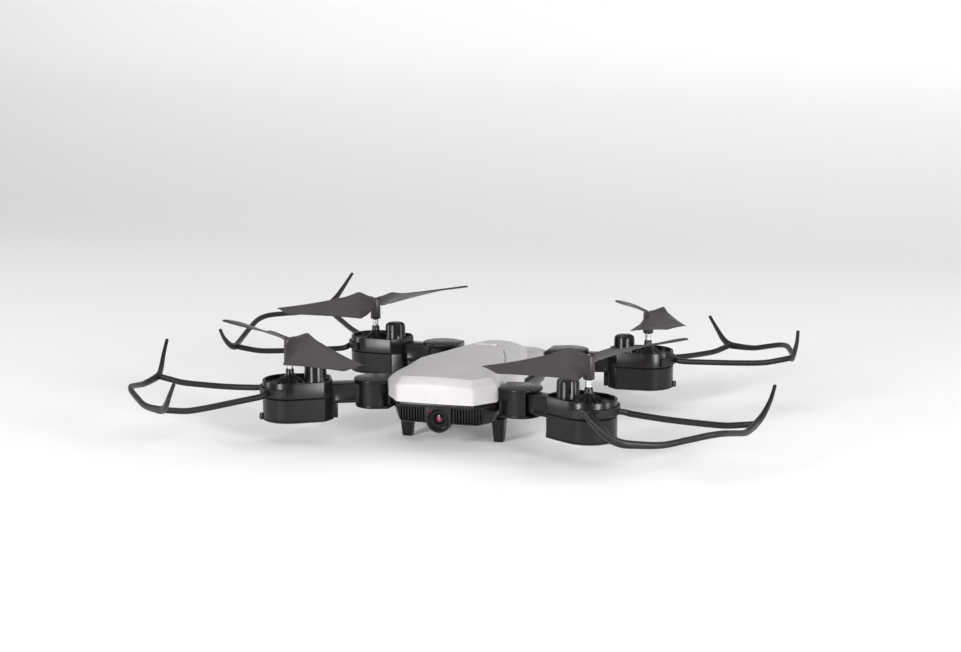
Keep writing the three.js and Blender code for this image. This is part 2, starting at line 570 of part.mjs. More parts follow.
/** Clip band, two struts, curved rail and two raised end hooks; twist and droop are rise per millimetre. */
function propGuard(twist, droop) {
  const set = ([x, y, z]) => [x, y, z + y * twist + (x - POD_RADIUS) * droop];
  const innerRadius = POD_RADIUS + GAP;
  const outerRadius = innerRadius + 1.3;
  let band = post(outerRadius, GUARD_BAND_LOW_Z, GUARD_BAND_HIGH_Z, 0, 0, BAND_SEGMENTS);
  band = band.subtract(post(innerRadius, GUARD_BAND_LOW_Z - 1, GUARD_BAND_HIGH_Z + 1, 0, 0, BAND_SEGMENTS));
  band = band.subtract(block(-30, 3, -30, 30, 0, 60));
  const clear = post(innerRadius, 20, 40, 0, 0, BAND_SEGMENTS);
  let guard = band;
  for (const side of [-1, 1]) {
    const strut = [[12.5, 11.5, 30.2], [20, 16, 29.6], [35, 25.5, 29.1], [50, 37, 29], [61, 45, 29.4],
      [74, 50.5, 32.2]].map(([x, y, z]) => set([x, side * y, z]));
    const hook = [[73.5, 48.5, 32.2], [75, 55, 32.2], [74, 63, 36.2], [71.5, 71.5, 43.5],
      [69, 78.5, 51]].map(([x, y, z]) => set([x, side * y, z]));
    guard = guard.add(rod(strut, 1.6, GUARD_TUBE, 7).subtract(clear));
    guard = guard.add(rod(hook, 1.7, 2.6, 6, 0.42));
  }
  const rail = [[73.8, -52, 32.4], [79.6, -47, 31.9], [84.4, -34, 31.6], [88.8, -19.6, 33.6], [91.6, -8, 35.2],
    [92.3, 0, 35.6], [91.6, 8, 35.2], [88.8, 19.6, 33.6], [84.4, 34, 31.6], [79.6, 47, 31.9],
    [73.8, 52, 32.4]].map(set);
  return guard.add(rod(rail, 1.6, GUARD_TUBE, 15));
}

// ---------------------------------------------------------------- assembly
const FRONT_HINGE_WEB = 33.6;   // body side at the front hinges
const REAR_HINGE_WEB = 30;      // body side at the rear hinges

/** Where one corner's rotor, arm, hinge, propeller and guard sit. */
function corner(code, side, end, extras) {
  const track = end < 0 ? FRONT_TRACK : REAR_TRACK;
  const sweep = radians(end < 0 ? FRONT_SWEEP : REAR_SWEEP);
  const x = side * track / 2;
  const y = end * WHEELBASE / 2;
  const inward = [-side * Math.cos(sweep), -end * Math.sin(sweep)];
  const hinge = {
    x: x + inward[0] * ARM_LENGTH,
    y: y + inward[1] * ARM_LENGTH,
    webX: end < 0 ? FRONT_HINGE_WEB : REAR_HINGE_WEB,
  };
  const guardYaw = radians(extras.guardSweep);
  const outward = Math.atan2(end * Math.sin(guardYaw), side * Math.cos(guardYaw));
  return { code, x, y, hinge, inwardAngle: Math.atan2(inward[1], inward[0]), outward, ...extras };
}

// Each clip-on guard sits a little differently: sweep in degrees, twist and droop as rise per millimetre.
const CORNERS = [
  corner('front_left', -1, -1, { hand: 1, propAngle: -36, guardSweep: 27.9, twist: 0.026, droop: -0.008 }),
  corner('front_right', 1, -1, { hand: -1, propAngle: 52, guardSweep: 30.2, twist: -0.065, droop: -0.045 }),
  corner('rear_left', -1, 1, { hand: -1, propAngle: 50, guardSweep: 12, twist: -0.105, droop: 0.068 }),
  corner('rear_right', 1, 1, { hand: 1, propAngle: -57, guardSweep: 29.4, twist: -0.11, droop: 0.005 }),
];

const drone = new THREE.Group();
drone.add(piece('upper_shell', upperShell(), WHITE_SHELL));
drone.add(piece('lower_shell', lowerShell(CORNERS), BLACK_BODY));
drone.add(piece('grille_left', grille(-1), BLACK_GRILLE));
drone.add(piece('grille_right', grille(1), BLACK_GRILLE));
drone.add(piece('camera_housing', cameraHousing(), BLACK_BODY));
drone.add(piece('camera_lens_barrel', lensBarrel(), BLACK_GRILLE));
drone.add(piece('camera_lens', lensGlass(), LENS_GLASS));
drone.add(piece('status_led', statusLed(), LED_RED));
drone.add(piece('flight_board', flightBoard(), BOARD_GREEN));
drone.add(piece('power_button', powerButton(), WHITE_SHELL));
drone.add(piece('battery_pack', batteryPack(), BATTERY_BLACK));
for (const [code, x, y] of [['front_left', -LEG_X, LEG_FRONT_Y], ['front_right', LEG_X, LEG_FRONT_Y],
  ['rear_left', -LEG_X + 4, LEG_REAR_Y], ['rear_right', LEG_X - 4, LEG_REAR_Y]]) {
  drone.add(piece(`leg_${code}`, leg(x, y), BLACK_BODY));
}

for (const place of CORNERS) {
  const pod = new THREE.Group();
  pod.position.set(place.x, place.y, 0);
  pod.rotation.z = place.inwardAngle;
  pod.add(piece(`arm_${place.code}`, armFrame(), BLACK_BODY));
  pod.add(piece(`pod_cover_${place.code}`, podCover(), BLACK_BODY));
  pod.add(piece(`motor_${place.code}`, motor(), STEEL));
  pod.add(piece(`pinion_${place.code}`, pinion(), BRASS));
  pod.add(piece(`main_gear_${place.code}`, mainGear(), GEAR_WHITE));
  pod.add(piece(`rotor_shaft_${place.code}`, rotorShaft(), STEEL));
  pod.add(piece(`shaft_bearing_${place.code}`, shaftBearing(), STEEL));
  drone.add(pod);

  const spinner = piece(`propeller_${place.code}`, propeller(place.hand), BLADE_BROWN);
  spinner.position.set(place.x, place.y, 0);
  spinner.rotation.z = radians(place.propAngle);
  drone.add(spinner);

  const guard = piece(`prop_guard_${place.code}`, propGuard(place.twist, place.droop), GUARD_BLACK);
  guard.position.set(place.x, place.y, 0);
  guard.rotation.z = place.outward;
  drone.add(guard);

  drone.add(piece(`hinge_pin_${place.code}`, hingePin(place.hinge), STEEL));
}

// The origin is the middle of the footprint, on the surface that the legs stand on.
const extent = new THREE.Box3().setFromObject(drone, true);
const middle = extent.getCenter(new THREE.Vector3());
drone.position.set(-middle.x, -middle.y, -extent.min.z);

const group = new THREE.Group();
group.add(drone);
export default group;
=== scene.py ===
"""Looks of a folding-arm toy quadcopter with clip-on propeller guards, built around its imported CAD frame.

Shapes are worked out in millimetres in the drone's own layout and turned to metres when a mesh is made.
"""
import json
import math

import bmesh
import bpy
from mathutils import Matrix, Vector


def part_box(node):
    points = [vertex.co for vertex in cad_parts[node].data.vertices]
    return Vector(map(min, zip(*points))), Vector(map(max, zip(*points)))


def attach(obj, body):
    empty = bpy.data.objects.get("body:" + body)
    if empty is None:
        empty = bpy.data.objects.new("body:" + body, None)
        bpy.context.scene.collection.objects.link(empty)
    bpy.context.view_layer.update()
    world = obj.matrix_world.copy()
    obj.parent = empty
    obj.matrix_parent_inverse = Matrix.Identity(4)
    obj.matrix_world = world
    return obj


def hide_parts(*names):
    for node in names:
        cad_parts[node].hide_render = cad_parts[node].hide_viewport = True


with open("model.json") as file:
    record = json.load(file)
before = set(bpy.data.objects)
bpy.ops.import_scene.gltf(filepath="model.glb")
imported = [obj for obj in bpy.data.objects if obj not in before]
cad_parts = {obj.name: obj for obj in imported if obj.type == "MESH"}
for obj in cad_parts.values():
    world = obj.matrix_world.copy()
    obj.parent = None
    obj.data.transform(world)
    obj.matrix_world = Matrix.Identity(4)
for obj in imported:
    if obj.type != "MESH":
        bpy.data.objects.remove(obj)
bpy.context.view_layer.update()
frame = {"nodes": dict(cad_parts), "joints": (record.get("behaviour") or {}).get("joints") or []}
MM = 0.001

# ---- places and sizes, from the frame
CORNERS = ("front_left", "front_right", "rear_left", "rear_right")
JOINTS = {joint["name"]: joint for joint in frame["joints"]}


def box_mm(node):
    low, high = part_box(node)
    return low / MM, high / MM


SHELL_LOW, SHELL_HIGH = box_mm("upper_shell")
SHAFT_LOW, SHAFT_HIGH = box_mm("rotor_shaft_front_left")
PIN_LOW, PIN_HIGH = box_mm("hinge_pin_front_left")
CAMERA_LOW, CAMERA_HIGH = box_mm("camera_housing")
LENS_LOW, LENS_HIGH = box_mm("camera_lens")
BATTERY_LOW, BATTERY_HIGH = box_mm("battery_pack")
BUTTON_LOW, BUTTON_HIGH = box_mm("power_button")

NOSE_REACH = 78.6               # from the body's middle to the tip of the nose
MIDDLE = Vector(((SHELL_LOW.x + SHELL_HIGH.x) / 2, SHELL_LOW.y + NOSE_REACH, 0))
GAP = 0.3                       # clearance between neighbouring pieces
AXIS = 0.0005                   # radius that stands for a turned piece's axis
BELLY_Z = box_mm("leg_front_left")[1].z + GAP
SPLIT_Z = SHELL_LOW.z - GAP
CROWN_Z = SHELL_HIGH.z
DECK_TOP_Z = 35.7
POD_SEAM_Z = box_mm("pod_cover_front_left")[0].z - GAP / 2
POD_RIM_Z = 37.1
POD_BOTTOM_Z = box_mm("arm_front_left")[0].z
TOWER_TOP_Z = 46.3
HUB_TOP_Z = 61.5
HUB_BOTTOM_Z = box_mm("propeller_front_left")[0].z
NECK_TOP_Z = 43
POD_RADIUS = 16.2
POD_TAPER = math.radians(7.4)
POD_SHOULDER = 19.3
POD_END = 24.5
POD_END_HALF = 7.5
POD_WALL = 1.5
MOTOR_OFFSET = 15
TOWER_RADIUS = 6.6
ARM_LENGTH = 50
BEAM_HALF = 5
BEAM_LOW_Z = 22.3
BEAM_HIGH_Z = 34.2
BARREL_RADIUS = 9
LUG_RADIUS = 12.5
LUG_LOW_Z = 19.5
LUG_HIGH_Z = 36.4
LUG_THICKNESS = 1.9
PROP_RADIUS = 72
HUB_RADIUS = 3.3
BAND_LOW_Z = 28.7
BAND_HIGH_Z = 33.7

# Each rotor's leading side, its angle in degrees and how far its two blade tips rise; then each guard's sweep
# in degrees and its rise per millimetre across and outwards.
ROTOR_HAND = {"front_left": 1, "front_right": -1, "rear_left": -1, "rear_right": 1}
BLADE_ANGLE = {"front_left": -33.5, "front_right": 52, "rear_left": 50, "rear_right": -61}
BLADE_LIFT = {"front_left": (-4.8, 1.4), "front_right": (2.2, 2.2), "rear_left": (2.4, 0),
              "rear_right": (3.9, -3.9)}
GUARD_SWEEP = {"front_left": 27.9, "front_right": 30.2, "rear_left": 12, "rear_right": 29.4}
GUARD_TWIST = {"front_left": 0.026, "front_right": -0.065, "rear_left": -0.105, "rear_right": -0.11}
GUARD_DROOP = {"front_left": -0.008, "front_right": -0.045, "rear_left": 0.068, "rear_right": 0.005}


def mix(a, b, t):
    return a + (b - a) * t


def straight(value, low, high):
    """0 up to low, 1 from high on, and a straight line between them."""
    return min(max((value - low) / (high - low), 0.0), 1.0)


def ease(value, low, high):
    """As straight, with soft ends."""
    t = straight(value, low, high)
    return t * t * (3 - 2 * t)


def shift(x, y, z=0):
    return Matrix.Translation((x, y, z))


def turned(degrees, axis="Z"):
    return Matrix.Rotation(math.radians(degrees), 4, axis)


def joint_place(name):
    return Vector(JOINTS[name]["pos_m"]) / MM


def flat(point):
    return Vector((point.x, point.y, 0))


SHAFT = {code: flat(joint_place(f"spin_{code}")) for code in CORNERS}
HINGE = {code: flat(joint_place(f"fold_{code}")) for code in CORNERS}
SIDE = {code: -1 if code.endswith("left") else 1 for code in CORNERS}
END = {code: -1 if code.startswith("front") else 1 for code in CORNERS}


def pod_matrix(code):
    """The arm's own axes: rotor shaft at the origin, +X towards the fold hinge."""
    inward = HINGE[code] - SHAFT[code]
    return Matrix.Translation(SHAFT[code]) @ Matrix.Rotation(math.atan2(inward.y, inward.x), 4, "Z")


def guard_matrix(code):
    """The guard's own axes: rotor shaft at the origin, +X straight out."""
    yaw = math.radians(GUARD_SWEEP[code])
    outward = math.atan2(END[code] * math.sin(yaw), SIDE[code] * math.cos(yaw))
    return Matrix.Translation(SHAFT[code]) @ Matrix.Rotation(outward, 4, "Z")


BODY_MATRIX = Matrix.Translation(MIDDLE)


# ---- mesh helpers, all in millimetres
def mesh_object(name, verts, faces):
    mesh = bpy.data.meshes.new(name)
    mesh.from_pydata([Vector(v) * MM for v in verts], [], faces)
    obj = bpy.data.objects.new(name, mesh)
    bpy.context.scene.collection.objects.link(obj)
    edit = bmesh.new()
    edit.from_mesh(mesh)
    bmesh.ops.remove_doubles(edit, verts=edit.verts, dist=0.002 * MM)
    bmesh.ops.dissolve_degenerate(edit, edges=edit.edges, dist=0.001 * MM)
    bmesh.ops.recalc_face_normals(edit, faces=edit.faces)
    edit.to_mesh(mesh)
    edit.free()
    return obj


def bake(obj):
    """Applies the object's modifiers to its mesh."""
    graph = bpy.context.evaluated_depsgraph_get()
    mesh = bpy.data.meshes.new_from_object(obj.evaluated_get(graph), depsgraph=graph)
    obj.modifiers.clear()
    used = obj.data
    obj.data = mesh
    bpy.data.meshes.remove(used)
    return obj


def bevel(obj, width, segments=3, angle=30):
    modifier = obj.modifiers.new("bevel", "BEVEL")
    modifier.width = width * MM
    modifier.segments = segments
    modifier.limit_method = "ANGLE"
    modifier.angle_limit = math.radians(angle)
    modifier.use_clamp_overlap = True
    return bake(obj)


def combine(obj, others, operation):
    """Joins or cuts obj with others, which are used up."""
    for other in others:
        modifier = obj.modifiers.new("combine", "BOOLEAN")
        modifier.operation = operation
        modifier.solver = "EXACT"
        modifier.object = other
        bake(obj)
        bpy.data.objects.remove(other)
    return obj


def cut(obj, *others):
    return combine(obj, others, "DIFFERENCE")


def add(obj, *others):
    return combine(obj, others, "UNION")


def merge(obj, others):
    """Puts the meshes of others into obj as separate shells."""
    edit = bmesh.new()
    edit.from_mesh(obj.data)
    for other in others:
        edit.from_mesh(other.data)
        bpy.data.objects.remove(other)
    edit.to_mesh(obj.data)
    edit.free()


def place(obj, matrix):
    """Moves the mesh itself by a matrix that is in millimetres."""
    metric = matrix.copy()
    metric.translation = matrix.translation * MM
    obj.data.transform(metric)
    return obj


def mirror(obj, x, y=1):
    """Mirrors the mesh across each axis whose sign is -1, and keeps its faces outwards."""
    place(obj, Matrix.Diagonal((x, y, 1, 1)))
    if x * y < 0:
        obj.data.flip_normals()


def loft(name, rings, caps=True):
    """A tube through equal rings of points, closed at both ends."""
    count = len(rings[0])
    verts = [point for ring in rings for point in ring]
    faces = []
    for r in range(len(rings) - 1):
        for i in range(count):
            j = (i + 1) % count
            faces.append((r * count + i, r * count + j, (r + 1) * count + j, (r + 1) * count + i))
    if caps:
        faces.append(tuple(range(count))[::-1])
        last = (len(rings) - 1) * count
        faces.append(tuple(range(last, last + count)))
    return mesh_object(name, verts, faces)


def prism(name, outline, low, high):
    return loft(name, [[(x, y, low) for x, y in outline], [(x, y, high) for x, y in outline]])


def rectangle(x0, x1, y0, y1):
    return [(x0, y0), (x1, y0), (x1, y1), (x0, y1)]


def block(name, x0, x1, y0, y1, z0, z1):
    return prism(name, rectangle(x0, x1, y0, y1), z0, z1)


def lathe(name, profile, segments=48):
    """A closed profile of (radius, height) points, from axis to axis, turned about Z."""
    rings = []
    for radius, z in profile:
        turn = [2 * math.pi * i / segments for i in range(segments)]
        rings.append([(radius * math.cos(a), radius * math.sin(a), z) for a in turn])
    return loft(name, rings)


def disc(name, radius, low, high, x=0, y=0, segments=48):
    obj = lathe(name, [(AXIS, low), (radius, low), (radius, high), (AXIS, high)], segments)
    return place(obj, shift(x, y))


def along_y(obj, x, z):
    """Lays an upright turned piece along Y: its top points to -Y."""
    return place(obj, shift(x, 0, z) @ turned(90, "X"))


def slot_across(obj, turn, half_length, half_width, low, high):
    """Cuts one bar of a screwdriver recess through the middle of a screw or pin head."""
    bar = block("bar", -half_length, half_length, -half_width, half_width, low, high)
    cut(obj, place(bar, turned(turn)))


def eased_corner(here, start, end, steps):
    """Points of the curve from start to end that stays inside the corner here."""
    shares = [k / steps for k in range(steps + 1)]
    return [tuple(start * (1 - t) ** 2 + here * 2 * t * (1 - t) + end * t * t) for t in shares]


def rounded(outline, radius, steps=5):
    """A closed outline with its corners rounded."""
    longest = 0.45              # share of a side that one rounding may take
    points = []
    count = len(outline)
    for i, corner in enumerate(outline):
        here = Vector(corner)
        before = Vector(outline[i - 1]) - here
        after = Vector(outline[(i + 1) % count]) - here
        reach = min(radius, before.length * longest, after.length * longest)
        leave, arrive = here + before.normalized() * reach, here + after.normalized() * reach
        points += eased_corner(here, leave, arrive, steps)
    return points


def arc(radius, start, end, steps, x=0):
    """Points of an arc between two angles in degrees, round (x, 0)."""
    turn = [math.radians(mix(start, end, k / steps)) for k in range(steps + 1)]
    return [(x + radius * math.cos(a), radius * math.sin(a)) for a in turn]


def inset(outline, distance):
    """A counter-clockwise outline moved inwards."""
    lines = []
    for i, (x, y) in enumerate(outline):
        nx, ny = outline[(i + 1) % len(outline)]
        length = math.hypot(nx - x, ny - y)
        normal = (-(ny - y) / length, (nx - x) / length)
        lines.append((normal, normal[0] * x + normal[1] * y + distance))
    moved = []
    for i, (normal, offset) in enumerate(lines):
        (px, py), before = lines[i - 1]
        cross = px * normal[1] - py * normal[0]
        moved.append(((before * normal[1] - offset * py) / cross, (offset * px - before * normal[0]) / cross))
    return moved


def mirrored(right_half):
    """The right half of an outline, front to rear, completed by its mirror image."""
    return right_half + [(-x, y) for x, y in reversed(right_half) if x > 0]


def smooth_path(points, steps):
    """Evenly stepped Catmull-Rom curve through the points."""
    knots = [Vector(p) for p in points]
    knots = [knots[0] * 2 - knots[1]] + knots + [knots[-1] * 2 - knots[-2]]
    spans = len(knots) - 3
    path = []
    for k in range(steps + 1):
        at = min(k / steps * spans, spans - 1e-9)
        i = int(at)
        t = at - i
        a, b, c, d = knots[i:i + 4]
        path.append(0.5 * (2 * b + (c - a) * t + (2 * a - 5 * b + 4 * c - d) * t * t
                           + (3 * b - a - 3 * c + d) * t ** 3))
    return path


def rod(name, points, half_width, half_height, steps=40, shape=None, sides=16, square=2.6):
    """A rod of rounded section along a curve, kept level; shape scales both sides by share of length."""
    path = smooth_path(points, steps)
    rings = []
    for k, centre in enumerate(path):
        ahead = path[min(k + 1, steps)] - path[max(k - 1, 0)]
        ahead.normalize()
        across = Vector((0, 0, 1)).cross(ahead)
        across.normalize()
        up = ahead.cross(across)
        wide, high = shape(k / steps) if shape else (1, 1)
        ring = []
        for i in range(sides):
            a = 2 * math.pi * i / sides
            u = math.copysign(abs(math.cos(a)) ** (2 / square), math.cos(a)) * half_width * wide
            v = math.copysign(abs(math.sin(a)) ** (2 / square), math.sin(a)) * half_height * high
            ring.append(centre + across * u + up * v)
        rings.append(ring)

    def tip(end, inner, ring):
        reach = (ring[0] - end).length * 0.6
        push = (end - inner).normalized() * reach
        return [end + push + (point - end) * 0.55 for point in ring]

    return loft(name, [tip(path[0], path[1], rings[0])] + rings + [tip(path[-1], path[-2], rings[-1])])


def shade_smooth(mesh):
    mesh.polygons.foreach_set("use_smooth", [True] * len(mesh.polygons))


def finish(obj, body, material, matrix, nodes=(), sharp=34):
    """Last steps: the piece's place, shading, material, body and the CAD nodes that it stands for."""
    mesh = place(obj, matrix).data
    shade_smooth(mesh)
    mesh.set_sharp_from_angle(angle=math.radians(sharp))
    mesh.materials.clear()
    mesh.materials.append(material)
    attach(obj, body)
    if nodes:
        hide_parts(*nodes)


# ---- materials
def new_material(name):
    material = bpy.data.materials.new(name)
    material.use_nodes = True
    nodes = material.node_tree.nodes
    return material, nodes, material.node_tree.links, nodes["Principled BSDF"]


def fill(node, values):
    """Sets unlinked inputs of a node."""
    for name, value in values.items():
        node.inputs[name].default_value = value


def noise(nodes, links, scale, detail=3.0, stretch=(1, 1, 1)):
    """Noise in object space, with scale in features per metre."""
    coordinates = nodes.new("ShaderNodeTexCoord")
    mapping = nodes.new("ShaderNodeMapping")
    fill(mapping, {"Scale": stretch})
    texture = nodes.new("ShaderNodeTexNoise")
    fill(texture, {"Scale": scale, "Detail": detail})
    links.new(coordinates.outputs["Object"], mapping.inputs["Vector"])
    links.new(mapping.outputs["Vector"], texture.inputs["Vector"])
    return texture.outputs["Fac"]


def ramp(nodes, links, source, stops):
    """Colour ramp with (position, colour) stops."""
    node = nodes.new("ShaderNodeValToRGB")
    elements = node.color_ramp.elements
    while len(elements) < len(stops):
        elements.new(0.5)
    for element, (position, colour) in zip(elements, stops):
        element.position = position
        element.color = (*colour, 1)
    links.new(source, node.inputs["Fac"])
    return node.outputs["Color"]


def spread(nodes, links, source, low, high):
    """Noise values turned into a range from low to high."""
    node = nodes.new("ShaderNodeMapRange")
    fill(node, {"From Min": 0.3, "From Max": 0.7, "To Min": low, "To Max": high})
    links.new(source, node.inputs["Value"])
    return node.outputs["Result"]


def add_bump(nodes, links, shader, source, strength, distance):
    node = nodes.new("ShaderNodeBump")
    fill(node, {"Strength": strength, "Distance": distance})
    links.new(source, node.inputs["Height"])
    links.new(node.outputs["Normal"], shader.inputs["Normal"])


FINE_GRAIN = 900.0              # features per metre
GRAIN_DEPTH = 0.00005


def plastic(name, dark, light, rough, specular=0.5, grain_strength=0.02, grain=FINE_GRAIN, patch=60.0):
    """Moulded plastic: slow colour drift, uneven gloss and a fine moulded grain."""
    material, nodes, links, shader = new_material(name)
    drift = noise(nodes, links, patch, 4.0)
    links.new(ramp(nodes, links, drift, [(0.35, dark), (0.65, light)]), shader.inputs["Base Color"])
    gloss = noise(nodes, links, patch * 2, 1.0)
    links.new(spread(nodes, links, gloss, *rough), shader.inputs["Roughness"])
    add_bump(nodes, links, shader, noise(nodes, links, grain, 2.0), grain_strength, GRAIN_DEPTH)
    fill(shader, {"Specular IOR Level": specular})
    return material


def turned_metal(name, dark, light, rough):
    """Turned metal with fine rings round the axis that it was turned on."""
    material, nodes, links, shader = new_material(name)
    rings = noise(nodes, links, 900.0, 2.0, (0.05, 0.05, 6.0))
    links.new(ramp(nodes, links, rings, [(0.35, dark), (0.65, light)]), shader.inputs["Base Color"])
    links.new(spread(nodes, links, rings, *rough), shader.inputs["Roughness"])
    add_bump(nodes, links, shader, rings, 0.25, 0.00003)
    fill(shader, {"Metallic": 1.0})
    return material


def lens_material(centre, painted_glint_radius):
    """Dark coated glass whose colour holds a painted reflection: a small red glint, painted deep in its
    middle.
    """
    material, nodes, links, shader = new_material("lens_with_painted_glint")
    coordinates = nodes.new("ShaderNodeTexCoord")
    mapping = nodes.new("ShaderNodeMapping")
    fill(mapping, {"Location": [-value / painted_glint_radius for value in centre], "Scale": [1 / (painted_glint_radius * MM)] * 3})
    gradient = nodes.new("ShaderNodeTexGradient")
    gradient.gradient_type = "SPHERICAL"
    links.new(coordinates.outputs["Object"], mapping.inputs["Vector"])
    links.new(mapping.outputs["Vector"], gradient.inputs["Vector"])
    # Painted highlight: dark at the rim of the glint, turning pinkish red towards its middle.
    stops = [(0.0, (0.004, 0.004, 0.006)), (0.25, (0.05, 0.004, 0.018)), (0.6, (0.22, 0.015, 0.06)),
             (0.85, (0.36, 0.08, 0.14))]
    painted_glint_colour = ramp(nodes, links, gradient.outputs["Fac"], stops)
    links.new(painted_glint_colour, shader.inputs["Base Color"])
    smear = noise(nodes, links, 400.0)
    links.new(spread(nodes, links, smear, 0.10, 0.18), shader.inputs["Roughness"])
    fill(shader, {"Specular IOR Level": 0.25})
    return material


def lamp_material():
    material, nodes, links, shader = new_material("lamp_red")
    cloud = noise(nodes, links, 1500.0)
    links.new(ramp(nodes, links, cloud, [(0.3, (0.16, 0.006, 0.012)), (0.7, (0.26, 0.012, 0.02))]),
              shader.inputs["Base Color"])
    links.new(spread(nodes, links, cloud, 0.1, 0.25), shader.inputs["Roughness"])
    return material


WHITE = plastic("white_shell", (0.49, 0.475, 0.487), (0.52, 0.505, 0.517), (0.32, 0.42), 0.25)
BLACK = plastic("black_body", (0.0055, 0.0042, 0.0052), (0.0075, 0.006, 0.007), (0.24, 0.28), 0.3, 0.01)
TRIM = plastic("black_trim", (0.006, 0.005, 0.0056), (0.009, 0.0078, 0.0086), (0.38, 0.46), 0.2)
GLOSS = plastic("bezel_gloss", (0.005, 0.0042, 0.005), (0.007, 0.006, 0.007), (0.16, 0.22), 0.35, 0.01)
BLADE = plastic("blade", (0.026, 0.019, 0.0225), (0.032, 0.025, 0.029), (0.36, 0.42), 0.35, 0.01, patch=45.0)
GUARD = plastic("guard", (0.008, 0.0065, 0.0076), (0.012, 0.0102, 0.0115), (0.36, 0.42), 0.25)
NYLON = plastic("gear_nylon", (0.60, 0.57, 0.49), (0.68, 0.66, 0.58), (0.4, 0.55), 0.5, 0.1, 2500.0)
BOARD = plastic("circuit_board", (0.010, 0.09, 0.035), (0.02, 0.15, 0.06), (0.3, 0.5), 0.5, 0.3)
BATTERY = plastic("battery_case", (0.010, 0.010, 0.011), (0.018, 0.018, 0.020), (0.45, 0.6), 0.5, 0.2, 1800.0)
STEEL = turned_metal("steel", (0.55, 0.56, 0.58), (0.78, 0.79, 0.81), (0.18, 0.34))
BRASS = turned_metal("brass", (0.55, 0.40, 0.18), (0.75, 0.58, 0.28), (0.25, 0.4))
LENS_CENTRE = (LENS_LOW + LENS_HIGH) / 2
# Radius of the red glint painted into the lens colour, a painted reflection.
PAINTED_GLINT_RADIUS = 2.0
LENS = lens_material((LENS_CENTRE.x, LENS_LOW.y, LENS_CENTRE.z), PAINTED_GLINT_RADIUS)
LAMP = lamp_material()


def floor_material():
    material, nodes, links, shader = new_material("floor")
    drift = noise(nodes, links, 1.5, 2.0)
    links.new(ramp(nodes, links, drift, [(0.2, (0.94, 0.94, 0.945)), (0.8, (0.96, 0.96, 0.965))]),
              shader.inputs["Base Color"])
    fill(shader, {"Roughness": 0.9, "Specular IOR Level": 0.1})
    return material


# ---- upper shell
# Paired stations along the right side, nose to tail: outer x, y and wall top z, then crown edge x, y and z.
SHELL_STATIONS = [
    (0, -79.4, 39.3, 0, -74.6, 43.3),
    (11.5, -79.2, 38.9, 10.5, -74.4, 43.1),
    (23, -78.6, 38.1, 20.6, -73.8, 42.6),
    (33.3, -63.9, 38.0, 28.9, -61.6, 42.3),
    (32.6, -56, 38.2, 28.6, -54, 42.4),
    (30.6, -47, 38.6, 27.8, -46, 42.6),
    (32.0, -37, 39.0, 27.6, -36, 42.6),
    (33.3, -28, 39.2, 26.8, -27, 42.7),
    (33.3, -5, 39.6, 20.5, -3, 43.0),
    (28.4, 10.4, 39.4, 15.5, 11, 43.1),
    (24.4, 29.6, 39.0, 10.6, 27, 42.9),
    (20, 47.4, 38.5, 8.6, 43, 42.3),
    (13.3, 59, 38.1, 6.6, 53, 41.7),
    (5, 62.2, 38.0, 3, 56.6, 41.3),
    (0, 62.4, 38.0, 0, 57, 41.3),
]
SHELL_CORNERS = (0, 2, 3, 8, 14)
SHELL_WALL = 1.6
BUTTON_GAP = 0.7
CORNER_EASE = 0.9
EDGE_EASE = 0.7
BOTTOM_SHARE = (0.992, 0.995)   # the bottom edge against the wall top, across and along
BEVEL_SWELL = 0.3
SPINE_FRONT_Y, SPINE_REAR_Y = -56, 44
CROWN_LEVELS = 14


def shell_stations(step=3.0):
    """Stations every few millimetres: straight next to a corner, smooth elsewhere, corners eased."""
    stations = []
    for i in range(len(SHELL_STATIONS) - 1):
        here, after = Vector(SHELL_STATIONS[i]), Vector(SHELL_STATIONS[i + 1])
        before = here if i in SHELL_CORNERS else Vector(SHELL_STATIONS[i - 1])
        beyond = after if i + 1 in SHELL_CORNERS else Vector(SHELL_STATIONS[i + 2])
        span = math.hypot(after[0] - here[0], after[1] - here[1])
        count = max(1, round(span / step))
        leave = (after - here) if i in SHELL_CORNERS else (after - before) / 2
        arrive = (after - here) if i + 1 in SHELL_CORNERS else (beyond - here) / 2
        if i in SHELL_CORNERS and i > 0:
            back = (stations[-1] - here) * (CORNER_EASE / math.hypot(*(stations[-1] - here)[:2]))
            ahead = (after - here) * (CORNER_EASE / span)
            stations += [here + back, here + (back + ahead) * 0.25, here + ahead]
        else:
            stations.append(here)
        for k in range(1, count):
            t = k / count
            stations.append(here * (2 * t ** 3 - 3 * t * t + 1) + leave * (t ** 3 - 2 * t * t + t)
                            + after * (3 * t * t - 2 * t ** 3) + arrive * (t ** 3 - t * t))
    stations.append(Vector(SHELL_STATIONS[-1]))
    return stations


def fall(distance, length, drop):
    return drop * max(0.0, distance / length) ** 2


def crown_height(y):
    """Height of the crown line along the middle of the shell, which falls towards the nose and the tail."""
    return CROWN_Z + 0.4 - fall(-25 - y, 50, 1.5) - fall(y - 12, 45, 3.4)


def spine_y(y):
    return min(max(y, SPINE_FRONT_Y), SPINE_REAR_Y)


def groove_depth(y):
    """Depth of the line pressed along the crown edge, which fades out towards the nose and the tail."""
    return 0.9 * ease(y, -46, -34) * (1 - ease(y, 12, 24))


